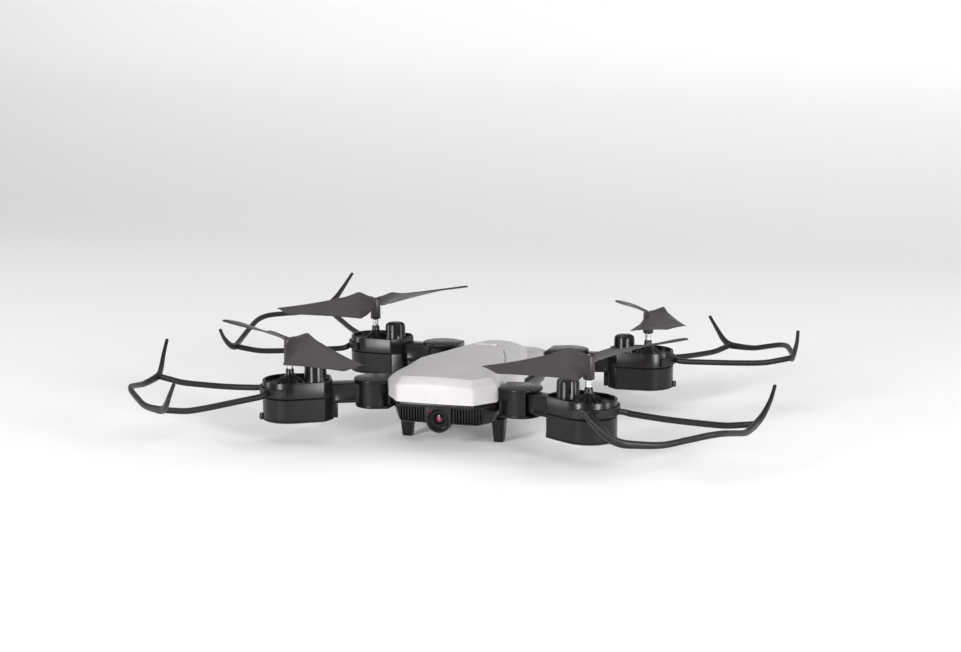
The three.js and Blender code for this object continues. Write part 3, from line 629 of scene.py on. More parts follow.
def side_profile(s):
    """One station's line from the bottom edge over the wall and bevel to the crown edge."""
    bottom = Vector((s[0] * BOTTOM_SHARE[0], s[1] * BOTTOM_SHARE[1], SPLIT_Z + GAP))
    edge, crown = Vector((s[0], s[1], s[2])), Vector((s[3], s[4], s[5]))
    swell = (edge + crown) / 2 + Vector((0, 0, BEVEL_SWELL))
    to_spine = (Vector((0, spine_y(s[4]), crown_height(s[4]))) - crown).normalized()
    up, along = (edge - bottom).normalized(), (swell - edge).normalized()
    over = (crown - swell).normalized()
    dip = Vector((0, 0, -groove_depth(s[4])))
    return [bottom, (bottom + edge) / 2, edge - up * EDGE_EASE, edge + (along - up) * EDGE_EASE * 0.25,
            edge + along * EDGE_EASE, swell, crown - over * EDGE_EASE,
            crown + (to_spine - over) * EDGE_EASE * 0.25 + dip, crown + to_spine * EDGE_EASE]


def shell_rings():
    """Rings from the bottom edge up the walls, then inwards over the crown to the spine."""
    stations = shell_stations()
    right = [side_profile(s) for s in stations]
    loop = [(profile, 1) for profile in right] + [(profile, -1) for profile in right[-2:0:-1]]
    rings = []
    for level in range(len(right[0])):
        rings.append([(side * p[level].x, p[level].y, p[level].z) for p, side in loop])
    for k in range(1, CROWN_LEVELS + 1):
        t = k / CROWN_LEVELS
        ring = []
        for profile, side in loop:
            start = profile[-1]
            y = start.y + (spine_y(start.y) - start.y) * t
            rise = crown_height(y) - start.z
            ring.append((side * start.x * (1 - t), y, start.z + rise * (1 - (1 - t) ** 2)))
        rings.append(ring)
    return rings


def upper_shell():
    shell = loft("shell_top", shell_rings(), caps=False)
    solidify = shell.modifiers.new("wall", "SOLIDIFY")
    solidify.thickness = SHELL_WALL * MM
    solidify.offset = -1
    solidify.use_even_offset = False
    bake(shell)
    centre_y = (BUTTON_LOW.y + BUTTON_HIGH.y) / 2 - MIDDLE.y
    half_x = (BUTTON_HIGH.x - BUTTON_LOW.x) / 2 + BUTTON_GAP
    half_y = (BUTTON_HIGH.y - BUTTON_LOW.y) / 2 + BUTTON_GAP
    oblong = rounded(rectangle(-half_x, half_x, centre_y - half_y, centre_y + half_y), half_y, 8)
    cut(shell, prism("hole", oblong, CROWN_Z - 4, CROWN_Z + 6))
    finish(shell, "body", WHITE, BODY_MATRIX, ["upper_shell"], 30)


DECK_HALF = [(31.5, -20), (31.5, 43), (29, 52), (29, 66), (20, 75)]
DECK_SLOPE = 0.012
DECK_THICKNESS = 2.4
DECK_LAP = 1.9                  # how far the deck reaches in under the crown's wall


def tail_deck():
    """The low step round and behind the crown."""
    outline = mirrored(DECK_HALF)
    rings = [[(x, y, SPLIT_Z + GAP) for x, y in rounded(outline, 4)],
             [(x, y, DECK_TOP_Z - DECK_SLOPE * max(0, y)) for x, y in rounded(inset(outline, 0.5), 4)]]
    deck = loft("shell_deck", rings)
    bevel(deck, 1.1, 4, 40)
    inside = rounded(inset(outline, SHELL_WALL), 3)
    cut(deck, prism("inside", inside, SPLIT_Z - 1, DECK_TOP_Z - DECK_THICKNESS))
    crown_foot = mirrored([(s[0], s[1]) for s in SHELL_STATIONS])
    cut(deck, prism("clear", inset(crown_foot, DECK_LAP), DECK_TOP_Z - 3, DECK_TOP_Z + 6))
    finish(deck, "body", WHITE, BODY_MATRIX, sharp=32)


def power_button():
    width = (BUTTON_HIGH.x - BUTTON_LOW.x) / 2
    length = (BUTTON_HIGH.y - BUTTON_LOW.y) / 2
    spot = Matrix.Translation(flat((BUTTON_LOW + BUTTON_HIGH) / 2))
    top = BUTTON_HIGH.z
    outline = rounded(rectangle(-width, width, -length, length), length, 8)
    levels = [(0, top - 3.2), (0, top - 0.5), (0.25, top - 0.15), (0.6, top)]
    rings = [[(x, y, z) for x, y in (inset(outline, d) if d else outline)] for d, z in levels]
    finish(loft("button_cap", rings), "power_button", WHITE, spot, sharp=35)
    stem = block("button_stem", -1.5, 1.5, -1.5, 1.5, BUTTON_LOW.z, top - 3)
    bevel(stem, 0.3, 2)
    finish(stem, "power_button", TRIM, spot, ["power_button"], 35)


# ---- lower shell
TUB_HALF = [(26, -69.5), (32.4, -58), (32.4, 43), (29.3, 52), (29.3, 66.2), (20, 75.2)]
GRILLE_INNER = 9.2
GRILLE_WIDTH = 16
GRILLE_LOW_Z = 15.6
GRILLE_HIGH_Z = 24.6
GRILLE_BACK_Y = -66.2
GRILLE_FRONT_Y = -69.3
RIB_HALF = 0.52
RIBS = 9
TUB_DRAFT = 32                  # half width that the draft of the tub's walls is measured against
TUB_WALL = 3.6
TUB_FLOOR = 1.8
CHIN_HALF = [(22.2, -77.2), (31.9, -63.3), (31.9, -50)]
CHIN_HEIGHT = 2.6
CAMERA_SLOT_HALF = 7.9
NOSE_CUT_Y = -76                # just ahead of the tub, where cuts through its front wall start
BELLY_SCREWS = [(x, y) for y in (-22, 30) for x in (-24.5, 24.5)]
COOLING_SLOTS = 7
COOLING_PITCH = 4.2


def tub():
    outline = rounded(mirrored(TUB_HALF), 2.5, 4)

    def level(draft, z):
        return [(x * (1 - draft / TUB_DRAFT), y, z) for x, y in outline]

    levels = ((3.2, BELLY_Z), (0.6, BELLY_Z + 7), (0, BELLY_Z + 9), (0, SPLIT_Z))
    body = loft("lower_tub", [level(draft, z) for draft, z in levels])
    bevel(body, 1.4, 4, 50)
    hollow = rounded(inset(mirrored(TUB_HALF), TUB_WALL), 2)
    cut(body, prism("hollow", hollow, BELLY_Z + TUB_FLOOR, SPLIT_Z + 1))
    for side in (-1, 1):
        near, far = sorted((side * GRILLE_INNER, side * (GRILLE_INNER + GRILLE_WIDTH)))
        cut(body, block("window", near, far, NOSE_CUT_Y, -64, GRILLE_LOW_Z, GRILLE_HIGH_Z))
    cut(body, block("camera_slot", -CAMERA_SLOT_HALF, CAMERA_SLOT_HALF, NOSE_CUT_Y, -62, BELLY_Z - 3,
                    SPLIT_Z - 2.4))
    door = (BATTERY_HIGH.x - BATTERY_LOW.x) / 2 + GAP
    cut(body, block("bay", -door, door, 60, 80, BATTERY_LOW.z - GAP, SPLIT_Z + 1))
    for x, y in BELLY_SCREWS:
        cut(body, disc("screw_hole", 2.3, BELLY_Z - 1, BELLY_Z + 1.1, x, y, 24))
    chin = prism("chin", rounded(mirrored(CHIN_HALF), 1.5, 3), SPLIT_Z - CHIN_HEIGHT, SPLIT_Z)
    bevel(chin, 0.6, 3, 50)
    add(body, chin)
    finish(body, "body", BLACK, BODY_MATRIX, ["lower_shell"])


def belly_details():
    """A raised belly panel with cooling slots, and the belly screws."""
    panel = prism("belly_panel", rounded(rectangle(-15, 15, -30, 40), 3), BELLY_Z - 0.5, BELLY_Z + 0.5)
    bevel(panel, 0.35, 3, 40)
    for i in range(COOLING_SLOTS):
        y = -20 + COOLING_PITCH * i
        cut(panel, prism("slot", rounded(rectangle(-9, 9, y, y + 1.8), 0.9, 4), BELLY_Z - 2, BELLY_Z - 0.1))
    finish(panel, "body", TRIM, BODY_MATRIX)
    for n, (x, y) in enumerate(BELLY_SCREWS):
        spot = BODY_MATRIX @ shift(x, y, BELLY_Z + 0.9) @ turned(180, "X")
        finish(screw(f"belly_screw_{n + 1}", 2.0), "body", STEEL, spot)


def screw(name, radius):
    """Pan-head cross-recess screw, head up, seated at z 0."""
    head = lathe(name, [(AXIS, -0.6), (radius, -0.6), (radius, 0.1), (radius * 0.93, 0.45),
                        (radius * 0.7, 0.75), (AXIS, 0.9)], 32)
    for turn in (20, 110):
        slot_across(head, turn, radius * 0.55, radius * 0.13, 0.25, 2)
    return head


LUG_NEAR = 6                    # from the hinge line to the web's outer edge
WEB_X = {-1: 33.6, 1: 30}       # the body's side at the front hinges and at the rear ones
STOP_WALL_START = {-1: 62, 1: 47}  # degrees round the hinge, front and rear
STOP_WALL_END = 158


def hinge_lugs(code):
    """Clevis of one fold hinge: two plates, the web at the body, and the wall that the open arm stops at."""
    side, end = SIDE[code], END[code]
    web_x = WEB_X[end]
    hinge = HINGE[code] - MIDDLE
    reach = abs(hinge.x)

    def plate(name, radius, low):
        outline = [(web_x, -radius + 1), (reach - 5, -radius)] + arc(radius, -90, 110, 28, reach)
        outline.append((web_x, LUG_NEAR + 2))
        return bevel(prism(name, outline, low, low + LUG_THICKNESS), 0.55, 3, 50)

    lugs = [plate(f"lug_top_{code}", LUG_RADIUS, LUG_HIGH_Z - LUG_THICKNESS),
            plate(f"lug_bottom_{code}", LUG_RADIUS - 0.7, LUG_LOW_Z)]
    web = block("web", web_x - 0.6, web_x + 1.5, -LUG_RADIUS + 1, LUG_NEAR, LUG_LOW_Z + 0.4, LUG_HIGH_Z - 0.4)
    bevel(web, 0.3, 2, 50)
    start = STOP_WALL_START[end]
    outline = arc(LUG_RADIUS - 0.9, start, STOP_WALL_END, 24, reach) + [(web_x, 5), (web_x + 1, 3)]
    outline += arc(BARREL_RADIUS + 0.4, STOP_WALL_END, start, 24, reach)
    wall = prism("wall", outline, LUG_LOW_Z + 0.5, LUG_HIGH_Z - 0.5)
    add(lugs[0], web, wall)
    for lug in lugs:
        mirror(lug, side, end)
        finish(lug, "body", BLACK, BODY_MATRIX @ shift(0, hinge.y))


def hinge_pin(code):
    low = PIN_LOW.z
    neck = LUG_LOW_Z - GAP
    profile = [(AXIS, low), (2.2, low), (2.8, low + 0.35), (2.95, low + 0.9), (2.95, neck), (1.6, neck),
               (1.6, PIN_HIGH.z), (AXIS, PIN_HIGH.z)]
    pin = lathe(f"fold_pin_{code}", profile, 40)
    for turn in (15, 105):
        slot_across(pin, turn, 1.6, 0.35, low - 1, low + 0.7)
    finish(pin, "body", STEEL, Matrix.Translation(HINGE[code]), [f"hinge_pin_{code}"])


def grille(side, code):
    """Upright rounded ribs in front of a back plate."""
    near = GRILLE_INNER + GAP
    width = GRILLE_WIDTH - 2 * GAP
    low, high = GRILLE_LOW_Z + GAP, GRILLE_HIGH_Z - GAP
    plate = block(f"grille_ribs_{code}", near, near + width, GRILLE_BACK_Y - 1.2, GRILLE_BACK_Y, low, high)
    ribs = []
    for i in range(RIBS):
        x = near + width / RIBS * (i + 0.5)
        rib = block("rib", x - RIB_HALF, x + RIB_HALF, GRILLE_FRONT_Y, GRILLE_BACK_Y - 1, low, high)
        ribs.append(bevel(rib, 0.3, 3, 50))
    merge(plate, ribs)
    mirror(plate, side)
    finish(plate, "body", TRIM, BODY_MATRIX, [f"grille_{code}"])


BEZEL_FACE = MIDDLE.y - CAMERA_LOW.y
BEZEL_DEPTH = 8
LENS_RADIUS = 3.3
LENS_BULGE = 1.1


def camera_bezel(centre_z, lamp_x, lamp_z, lamp_radius):
    """U-shaped bezel with a dished front, the bore of the lens barrel and the hole of the small lamp."""
    radius = (CAMERA_HIGH.x - CAMERA_LOW.x) / 2
    near, deep = BEZEL_FACE, BEZEL_FACE - BEZEL_DEPTH
    top = SPLIT_Z - 2.7 - centre_z
    bezel = prism("camera_bezel", [(-radius, top)] + arc(radius, 180, 360, 24) + [(radius, top)], deep, near)
    bevel(bezel, 0.7, 4, 50)
    along_y(bezel, 0, centre_z)
    dish = lathe("dish", [(AXIS, near - 1.2), (5.9, near - 1.2), (6.9, near + 1), (AXIS, near + 1)], 64)
    cut(bezel, along_y(dish, 0, centre_z))
    cut(bezel, along_y(disc("bore", 5.6, deep - 1, near + 2, segments=64), 0, centre_z))
    lamp_hole = disc("lamp_hole", lamp_radius + 0.15, near - 3, near + 1, segments=24)
    cut(bezel, along_y(lamp_hole, lamp_x, lamp_z))
    finish(bezel, "body", GLOSS, BODY_MATRIX, ["camera_housing"])


def nose_camera():
    """Bezel, small lamp, ringed lens barrel and domed lens; heights along the optical axis grow forwards."""
    centre_z = (CAMERA_LOW.z + CAMERA_HIGH.z) / 2
    lamp_low, lamp_high = box_mm("status_led")
    lamp_x = (lamp_low.x + lamp_high.x) / 2 - MIDDLE.x
    lamp_z = (lamp_low.z + lamp_high.z) / 2
    radius = (lamp_high.x - lamp_low.x) / 2
    camera_bezel(centre_z, lamp_x, lamp_z, radius)
    near = BEZEL_FACE
    lamp = lathe("lamp", [(AXIS, near - 2.8), (radius, near - 2.8), (radius, near),
                          (radius * 0.75, near + 0.18), (AXIS, near + 0.3)], 24)
    finish(along_y(lamp, lamp_x, lamp_z), "body", LAMP, BODY_MATRIX, ["status_led"], 50)

    rim = MIDDLE.y - box_mm("camera_lens_barrel")[0].y
    barrel = lathe("lens_barrel", [(AXIS, rim - 6), (5.3, rim - 6), (5.3, rim - 0.3), (5.0, rim), (4.6, rim),
                                   (4.3, rim - 0.5), (4.0, rim - 0.5), (3.75, rim - 1.1), (3.45, rim - 1.1),
                                   (3.45, rim - 2.3), (AXIS, rim - 2.3)], 64)
    finish(along_y(barrel, 0, centre_z), "body", TRIM, BODY_MATRIX, ["camera_lens_barrel"], 28)
    glass = MIDDLE.y - LENS_LOW.y
    dome = [(AXIS, glass - LENS_BULGE - 0.3), (LENS_RADIUS, glass - LENS_BULGE - 0.3)]
    for k in range(1, 9):
        a = k / 8 * math.pi / 2
        dome.append((max(AXIS, LENS_RADIUS * math.cos(a)), glass - LENS_BULGE + LENS_BULGE * math.sin(a)))
    lens = along_y(lathe("lens_glass", dome, 48), 0, centre_z)
    finish(lens, "body", LENS, BODY_MATRIX, ["camera_lens"], 60)


def leg(code):
    """Square stub that narrows to its foot, with a groove in its front and rear."""
    low, high = box_mm(f"leg_{code}")
    top_half = (high.x - low.x) / 2
    foot_half = top_half * 0.7
    rings = []
    for share, z in ((0.0, 0.0), (0.12, 1.2), (0.55, (high.z + 1) / 2), (1.0, high.z)):
        half = mix(foot_half, top_half, share)
        rings.append([(x, y, z) for x, y in rounded(rectangle(-half, half, -half, half), 1.1, 4)])
    foot = bevel(loft(f"stub_leg_{code}", rings), 0.5, 3, 50)
    for side in (-1, 1):
        face = side * (top_half + 0.2)
        cut(foot, block("groove", -1.1, 1.1, face - 0.9, face + 0.9, 4, 12.5))
    finish(foot, "body", BLACK, Matrix.Translation(flat((low + high) / 2)), [f"leg_{code}"])


def battery():
    """Case with an end cap that has a finger grip and four fine lines."""
    width = (BATTERY_HIGH.x - BATTERY_LOW.x) / 2
    low, high, end = BATTERY_LOW.z, BATTERY_HIGH.z, BATTERY_HIGH.y
    case = block("battery_case", -width + 0.5, width - 0.5, BATTERY_LOW.y, end - 2, low, high - GAP)
    bevel(case, 1.5, 4)
    add(case, bevel(block("cap", -width, width, end - 8, end, low, high), 0.9, 4))
    grip_z = high - 2.8
    cut(case, bevel(block("grip", -7, 7, end - 1.4, end + 1, grip_z - 1.6, grip_z + 1.6), 0.5, 3))
    for i in range(4):
        z = low + 1.4 + 1.1 * i
        cut(case, block("line", -10, 10, end - 0.35, end + 1, z, z + 0.5))
    finish(case, "battery", BATTERY, shift((BATTERY_LOW.x + BATTERY_HIGH.x) / 2, 0), ["battery_pack"])


# ---- arm and motor pod
POD_CORNER = 0.9
POD_MIDDLE = 4                  # where the closing rings shrink towards, along the pod


def pod_outline(grow=0.0, steps=56):
    """Round outer end, flat walls that turn in towards the arm, and a short straight end."""
    radius = POD_RADIUS + grow
    start = 90 - math.degrees(POD_TAPER)
    points = arc(radius, start, 360 - start, steps)
    tangent_x = radius * math.sin(POD_TAPER)
    shoulder = radius * math.cos(POD_TAPER) - (POD_SHOULDER - tangent_x) * math.tan(POD_TAPER)
    end = POD_END + grow
    corners = [points[-1], (POD_SHOULDER, -shoulder), (end, -POD_END_HALF), (end, POD_END_HALF),
               (POD_SHOULDER, shoulder), points[0]]
    for before, corner, after in zip(corners, corners[1:], corners[2:]):
        here = Vector(corner)
        leave = here + (Vector(before) - here).normalized() * POD_CORNER
        arrive = here + (Vector(after) - here).normalized() * POD_CORNER
        points += eased_corner(here, leave, arrive, 3)
    return points


def scaled(outline, share):
    """The outline drawn in towards the middle of the pod."""
    return [(POD_MIDDLE + (x - POD_MIDDLE) * share, y * share) for x, y in outline]


def pod_rings(levels, lowest, highest):
    """Rings of the pod's outline at (inset, height) levels, between drawn-in rings that close both ends."""
    deep = scaled(pod_outline(-POD_WALL), 0.55)
    rings = [[(x, y, z) for x, y in pod_outline(-d)] for d, z in levels]
    return [[(x, y, lowest) for x, y in deep]] + rings + [[(x, y, highest) for x, y in deep]]


def arm_piece(obj, code, nodes=(), sharp=34):
    finish(obj, f"arm_{code}", BLACK, pod_matrix(code), nodes, sharp)


def pod_cup(code):
    """Lower pod cup with a lip round its bottom edge, a peg at its outer end and three screws."""
    top = POD_SEAM_Z - GAP / 2
    low = POD_BOTTOM_Z
    levels = [(2.2, low), (0.25, low), (-0.35, low + 0.4), (-0.35, low + 1.1), (0.0, low + 1.5),
              (0, top - 0.35), (0.3, top), (POD_WALL, top), (POD_WALL, low + 1.6)]
    arm_piece(loft(f"pod_cup_{code}", pod_rings(levels, low, low + 1.6)), code, [f"arm_{code}"])
    peg = lathe(f"pod_peg_{code}", [(AXIS, low), (1.5, low), (1.9, low + 0.4), (1.9, low + 3.0),
                                    (1.5, low + 3.6), (AXIS, low + 3.6)], 24)
    arm_piece(place(peg, shift(-POD_RADIUS - 0.2, 0)), code)
    for n, (x, y) in enumerate([(-9, 0), (4, 11), (4, -11)]):
        spot = pod_matrix(code) @ shift(x, y, low + 0.55) @ turned(180, "X")
        finish(screw(f"pod_screw_{n + 1}_{code}", 1.5), f"arm_{code}", STEEL, spot)


def arm_beam(code):
    """Beam with recessed side panels, the hinge barrel and the block under the beam's root."""
    start, stop = POD_END - POD_WALL, ARM_LENGTH - 4
    beam = block(f"arm_beam_{code}", start, stop, -BEAM_HALF, BEAM_HALF, BEAM_LOW_Z, BEAM_HIGH_Z)
    bevel(beam, 0.8, 3)
    for side in (-1, 1):
        face = side * BEAM_HALF
        panel = block("panel", start + 3, ARM_LENGTH - BARREL_RADIUS - 3, face - 0.5, face + 0.7,
                      BEAM_LOW_Z + 1.8, BEAM_HIGH_Z - 2.2)
        cut(beam, bevel(panel, 0.3, 2))
    arm_piece(beam, code)
    low = LUG_LOW_Z + LUG_THICKNESS + GAP
    high = LUG_HIGH_Z - LUG_THICKNESS - GAP
    profile = [(1.9, low), (BARREL_RADIUS - 0.6, low), (BARREL_RADIUS, low + 0.6),
               (BARREL_RADIUS, high - 0.6), (BARREL_RADIUS - 0.6, high), (1.9, high), (1.9, low)]
    barrel = lathe(f"arm_barrel_{code}", profile, 64)
    arm_piece(place(barrel, shift(ARM_LENGTH, 0)), code, sharp=30)
    foot = rounded(rectangle(POD_END - 0.8, POD_END + 3.2, -3.4, 3.4), 0.8, 3)
    root = prism(f"arm_root_{code}", foot, POD_BOTTOM_Z, BEAM_LOW_Z + 0.5)
    arm_piece(bevel(root, 0.4, 2, 50), code)


COVER_FLOOR_Z = POD_RIM_Z - 1.8  # the recessed top of the pod cover
MOTOR_BORE = 4.75
SHAFT_BORE = 2.7


def pod_cover(code):
    """Cover skirt with a raised rim and a recessed top."""
    low, rim, floor = POD_SEAM_Z + GAP / 2, POD_RIM_Z, COVER_FLOOR_Z
    under = floor - 1.6
    levels = [(POD_WALL, under), (POD_WALL, low), (0.3, low), (0, low + 0.35), (0, rim - 0.5),
              (0.18, rim - 0.14), (0.5, rim), (POD_WALL - 0.4, rim), (POD_WALL, rim - 0.35),
              (POD_WALL, floor)]
    skirt = loft(f"pod_skirt_{code}", pod_rings(levels, under, floor))
    cut(skirt, disc("tower_cut", MOTOR_BORE + 0.05, low - 1, TOWER_TOP_Z, MOTOR_OFFSET),
        disc("shaft_cut", SHAFT_BORE, low - 1, rim + 6))
    arm_piece(skirt, code, [f"pod_cover_{code}"])


def pod_cone(code):
    """Cone round the rotor shaft, with eight ribs."""
    floor, neck = COVER_FLOOR_Z, NECK_TOP_Z
    profile = [(SHAFT_BORE, floor - 1.5), (7.6, floor - 0.4), (7.3, floor + 0.3), (5.4, floor + 1.4),
               (3.9, floor + 2.8), (3.0, floor + 4.2), (2.5, floor + 5.2), (2.35, neck - 0.3), (2.1, neck),
               (1.35, neck), (1.35, neck - 4.5), (SHAFT_BORE, floor + 2), (SHAFT_BORE, floor - 1.5)]
    cone = lathe(f"pod_cone_{code}", profile, 56)
    foot = [(x, y, floor + 0.2) for x, y in rectangle(2.4, 9.6, -0.4, 0.4)]
    top = [(x, y, floor + 6.32 - 0.8 * x) for x, y in rectangle(2.4, 3.4, -0.3, 0.3)]
    for k in range(8):
        add(cone, place(loft("rib", [foot, top]), turned(22.5 + 45 * k)))
    arm_piece(cone, code)


def pod_tower(code):
    """Motor tower with four flutes."""
    floor, top, radius = COVER_FLOOR_Z, TOWER_TOP_Z, TOWER_RADIUS
    profile = [(MOTOR_BORE, floor - 1), (radius + 0.8, floor - 0.6), (radius + 0.5, floor + 0.7),
               (radius, floor + 1.6), (radius - 0.15, top - 2.2), (radius - 0.7, top - 0.9),
               (radius - 1.9, top - 0.15), (radius - 3.0, top), (AXIS, top), (AXIS, top - 1.5),
               (MOTOR_BORE, top - 1.5), (MOTOR_BORE, floor - 1)]
    tower = lathe(f"pod_tower_{code}", profile, 64)
    for k in range(4):
        flute = prism("flute", rounded(rectangle(5.2, 9, -1.15, 1.15), 0.5, 3), floor + 3.5, top + 1)
        cut(tower, place(flute, turned(45 + 90 * k)))
    arm_piece(place(tower, shift(MOTOR_OFFSET, 0)), code)


def rotor_shaft(code):
    """Shaft with a grooved collar between the neck of the cone and the hub."""
    radius, collar = 1.2, 1.9
    foot, head = NECK_TOP_Z + GAP, HUB_BOTTOM_Z - GAP
    profile = [(AXIS, SHAFT_LOW.z), (radius, SHAFT_LOW.z), (radius, foot), (1.75, foot), (collar, foot + 0.2),
               (collar, foot + 1.4), (1.7, foot + 1.6), (1.7, foot + 2), (collar, foot + 2.2),
               (collar, head - 0.2), (1.7, head), (radius, head), (radius, SHAFT_HIGH.z),
               (AXIS, SHAFT_HIGH.z)]
    shaft = lathe(f"shaft_collar_{code}", profile, 40)
    finish(shaft, f"rotor_{code}", STEEL, Matrix.Translation(SHAFT[code]), [f"rotor_shaft_{code}"])


BLADE_MIDDLE_Z = HUB_TOP_Z - 1.4
BLADE_ROOT = 1.4
SHOULDER = 9                    # radius of the leading corner
HEEL = 22                       # radius of the trailing corner
ROOT_HALF, LEAD, TRAIL = 2.8, 7.5, 18.5
STEEP, MIDDLE_PITCH, TIP_PITCH = 35, 23, 8
CAMBER = 0.9


def blade(hand, lift):
    """One twisted blade along +X, broad near the hub, tapered to a cut tip; hand +1 leads at its +Y edge."""
    rings = []
    spans = 64
    chord_steps = 22
    for i in range(spans + 1):
        radius = mix(BLADE_ROOT, PROP_RADIUS, i / spans)
        outward = straight(radius, HEEL, PROP_RADIUS)
        at_tip = straight(radius, PROP_RADIUS - 1.4, PROP_RADIUS)
        lead = mix(ROOT_HALF, LEAD, ease(radius, BLADE_ROOT, SHOULDER))
        lead *= mix(1, 0.2, straight(radius, SHOULDER, PROP_RADIUS))
        trail = mix(ROOT_HALF, TRAIL, straight(radius, BLADE_ROOT, HEEL - 1)) * mix(1, 0.6, outward)
        shrink = mix(1, 0.9, at_tip * at_tip)
        pitch = math.radians(mix(mix(STEEP, MIDDLE_PITCH, ease(radius, 6, HEEL)), TIP_PITCH, outward))
        half = mix(0.75, 0.42, ease(radius, 6, PROP_RADIUS)) * mix(1, 0.4, at_tip)
        middle_z = BLADE_MIDDLE_Z + lift * radius / PROP_RADIUS
        ring = []
        for k in range(2 * chord_steps):
            a = math.pi * k / chord_steps
            across = math.cos(a)
            offset = across * (lead if across > 0 else trail) * shrink
            camber = CAMBER * (1 - across * across)
            section = half * math.sin(a) * (1 - 0.25 * abs(across))
            x = radius + 0.14 * min(offset, 0) * ease(radius, 50, PROP_RADIUS)
            ring.append((x, offset * hand, middle_z + offset * math.tan(pitch) + camber + section))
        rings.append(ring)
    return loft("blade", rings)


def propeller(code):
    """Moulded hub with a screw recess, and two blades joined to it."""
    low, top, radius, bore = HUB_BOTTOM_Z, HUB_TOP_Z, HUB_RADIUS, 1.4
    profile = [(AXIS, top - 3), (bore, top - 3), (bore, low), (radius - 0.3, low), (radius, low + 0.4),
               (radius - 0.15, top - 0.9), (radius - 0.6, top - 0.25), (radius - 1.1, top), (1.5, top),
               (bore, top - 0.8), (AXIS, top - 0.8)]
    hub = lathe(f"rotor_blades_{code}", profile, 48)
    first, second = [blade(ROTOR_HAND[code], lift) for lift in BLADE_LIFT[code]]
    add(hub, first, place(second, turned(180)))
    cut(hub, disc("bore", bore + 0.05, low - 6, top - 3.1))
    stand = Matrix.Translation(SHAFT[code]) @ turned(BLADE_ANGLE[code])
    finish(hub, f"rotor_{code}", BLADE, stand, [f"propeller_{code}"], 40)
    finish(screw(f"rotor_screw_{code}", 1.25), f"rotor_{code}", STEEL, stand @ shift(0, 0, top - 0.75))


def hook_shape(share):
    """Section of the rail and its end hooks: slim tips, deep hook roots, even rail."""
    inward = min(share, 1 - share)
    width = mix(0.68, 1, ease(inward, 0, 0.16))
    depth = mix(0.55, 1.35, ease(inward, 0, 0.2)) * mix(1, 0.74, ease(inward, 0.2, 0.34))
    return width, depth


BAND_THICKNESS = 1.3
BAND_REACH = 78                 # degrees that the clip band reaches round the pod on either side
STRUT_HALF = (1.6, 1.75)        # half width and half height of the section
RAIL_HALF = (1.5, 1.7)
RAIL_MIDDLE = (92.0, 0, 35.6)
HALF_RAIL = [(69, 78.2, 50.8), (71.3, 71.5, 43.5), (73.2, 63, 36.4), (74.9, 55.5, 32.9), (78.0, 48.6, 31.9),
             (84.4, 34, 31.6), (88.6, 19.6, 33.6), (91.3, 8, 35.2)]
STRUT = [(15.0, 8.6, 30.9), (16, 12.9, 30.2), (20, 16, 29.6), (35, 25.5, 29.1), (50, 37, 29), (61, 45, 29.4),
         (69, 50.2, 31), (75.2, 53.6, 32.5)]


def prop_guard(code):
    """Clip band, two struts, and the curved rail that rises into a hook at both ends, moulded in one."""
    twist, droop = GUARD_TWIST[code], GUARD_DROOP[code]

    def lean(points):
        return [(x, y, z + y * twist + (x - POD_RADIUS) * droop) for x, y, z in points]

    low, high, soft = BAND_LOW_Z, BAND_HIGH_Z, 0.35
    inner = POD_RADIUS + GAP
    outer = inner + BAND_THICKNESS
    profile = [(inner, low), (outer - soft, low), (outer, low + soft), (outer, high - soft),
               (outer - soft, high), (inner, high)]
    rings = []
    for x, y in arc(1, -BAND_REACH, BAND_REACH, 40):
        rings.append([(r * x, r * y, z) for r, z in profile])
    guard = loft(f"guard_{code}", rings)
    rail = HALF_RAIL + [RAIL_MIDDLE] + [(x, -y, z) for x, y, z in reversed(HALF_RAIL)]
    add(guard, rod("rail", lean(rail), *RAIL_HALF, 150, hook_shape))
    for side in (-1, 1):
        strut = [(x, side * y, z) for x, y, z in STRUT]
        add(guard, rod("strut", lean(strut), *STRUT_HALF, 44))
    cut(guard, disc("keep_out", inner, 20, 40, segments=96))
    finish(guard, f"guard_{code}", GUARD, guard_matrix(code), [f"prop_guard_{code}"], 38)


# ---- carried-over CAD nodes
INNER_PARTS = {"motor": STEEL, "shaft_bearing": STEEL, "pinion": BRASS, "main_gear": NYLON}


def paint_cad(node, material):
    slots = frame["nodes"][node].data.materials
    slots.clear()
    slots.append(material)


# ---- assembly
upper_shell()
tail_deck()
power_button()
tub()
belly_details()
for grille_side, grille_code in ((-1, "left"), (1, "right")):
    grille(grille_side, grille_code)
nose_camera()
battery()
paint_cad("flight_board", BOARD)
for corner in CORNERS:
    for build in (leg, hinge_lugs, hinge_pin, pod_cup, arm_beam, pod_cover, pod_cone, pod_tower, rotor_shaft,
                  propeller, prop_guard):
        build(corner)
    for part, look in INNER_PARTS.items():
        paint_cad(f"{part}_{corner}", look)

# ---- floor, light and camera
CAMERA_AZIMUTH = math.radians(16.99)
CAMERA_ELEVATION = math.radians(10.10)
CAMERA_DISTANCE = 1.11354
CAMERA_TARGET = Vector((0.0023, 0.0002, 0.0604))
CAMERA_LENS = 68.55

FLOOR_HALF = 8                  # metres, as are the points of the floor's profile
FLOOR_PROFILE = [(-6, 0), (0.8, 0), (1.0, 0.012), (1.2, 0.05), (1.36, 0.12), (1.46, 0.2), (1.52, 0.32)]

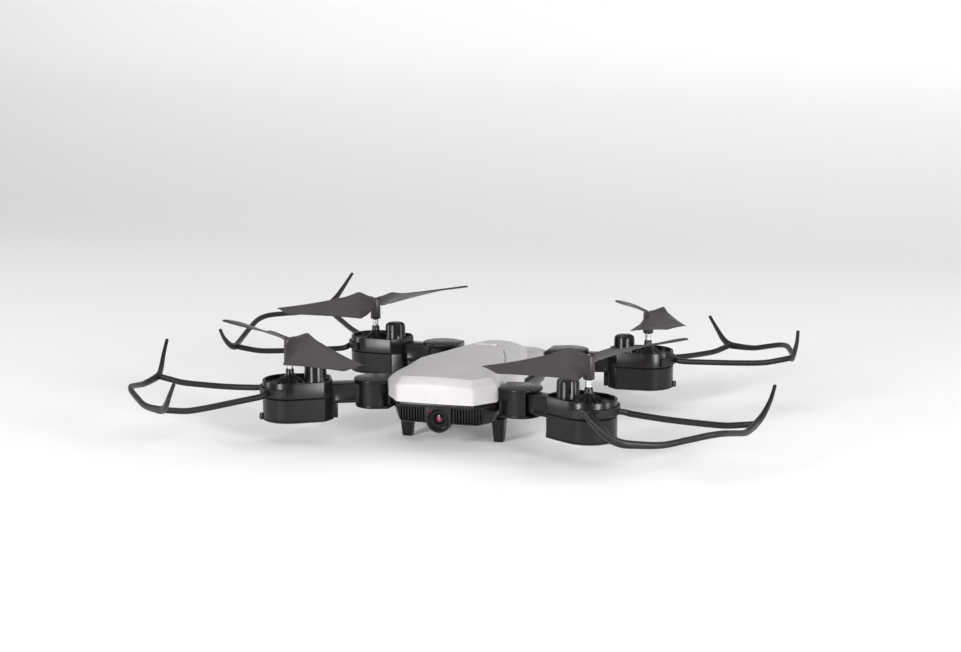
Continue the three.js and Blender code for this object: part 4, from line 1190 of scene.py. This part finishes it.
# Softboxes: azimuth (0 is ahead of the nose) and elevation in degrees; distance, width and height; watts.
LIGHTS = {
    "front_left": (-22, 12, 1.7, 0.3, 0.85, 24),
    "front_right": (52, 12, 1.7, 0.42, 0.85, 26),
    "left": (-78, 13, 1.7, 0.35, 0.85, 8),
    "right": (92, 13, 1.7, 0.35, 0.85, 10),
    "top": (0, 84, 1.9, 1.8, 1.8, 4),
    "back": (180, 48, 1.5, 3.0, 0.3, 5),
}


def towards(azimuth, elevation):
    """Unit vector from the drone to that azimuth and elevation in radians."""
    return Vector((math.sin(azimuth) * math.cos(elevation), -math.cos(azimuth) * math.cos(elevation),
                   math.sin(elevation)))


def studio_floor():
    """Flat floor that sweeps up behind the drone."""
    verts = []
    for y, z in FLOOR_PROFILE:
        verts.extend([(-FLOOR_HALF / MM, y / MM, z / MM), (FLOOR_HALF / MM, y / MM, z / MM)])
    faces = [(2 * i, 2 * i + 1, 2 * i + 3, 2 * i + 2) for i in range(len(FLOOR_PROFILE) - 1)]
    sweep = mesh_object("floor", verts, faces)
    shade_smooth(sweep.data)
    sweep.data.materials.append(floor_material())


def aimed(name, data, offset):
    """Puts a light or camera at an offset from the camera's target, looking at the target."""
    obj = bpy.data.objects.new(name, data)
    obj.location = CAMERA_TARGET + offset
    obj.rotation_euler = (-offset).to_track_quat("-Z", "Y").to_euler()
    bpy.context.scene.collection.objects.link(obj)
    return obj


def area_light(name, azimuth, elevation, distance, width, height, power):
    data = bpy.data.lights.new(name, "AREA")
    data.shape = "RECTANGLE"
    data.size = width
    data.size_y = height
    data.energy = power
    aimed(name, data, towards(math.radians(azimuth), math.radians(elevation)) * distance)


def studio():
    studio_floor()
    world = bpy.data.worlds.new("studio")
    bpy.context.scene.world = world
    world.use_nodes = True
    fill(world.node_tree.nodes["Background"], {"Color": (1.0, 0.985, 0.99, 1), "Strength": 0.28})
    for name, values in LIGHTS.items():
        area_light(name, *values)
    bpy.context.scene.view_settings.view_transform = "Standard"


def camera():
    data = bpy.data.cameras.new("camera")
    data.sensor_width = 36
    data.lens = CAMERA_LENS
    data.clip_end = 50
    back = towards(CAMERA_AZIMUTH, CAMERA_ELEVATION)
    bpy.context.scene.camera = aimed("camera", data, back * CAMERA_DISTANCE)


studio()
camera()
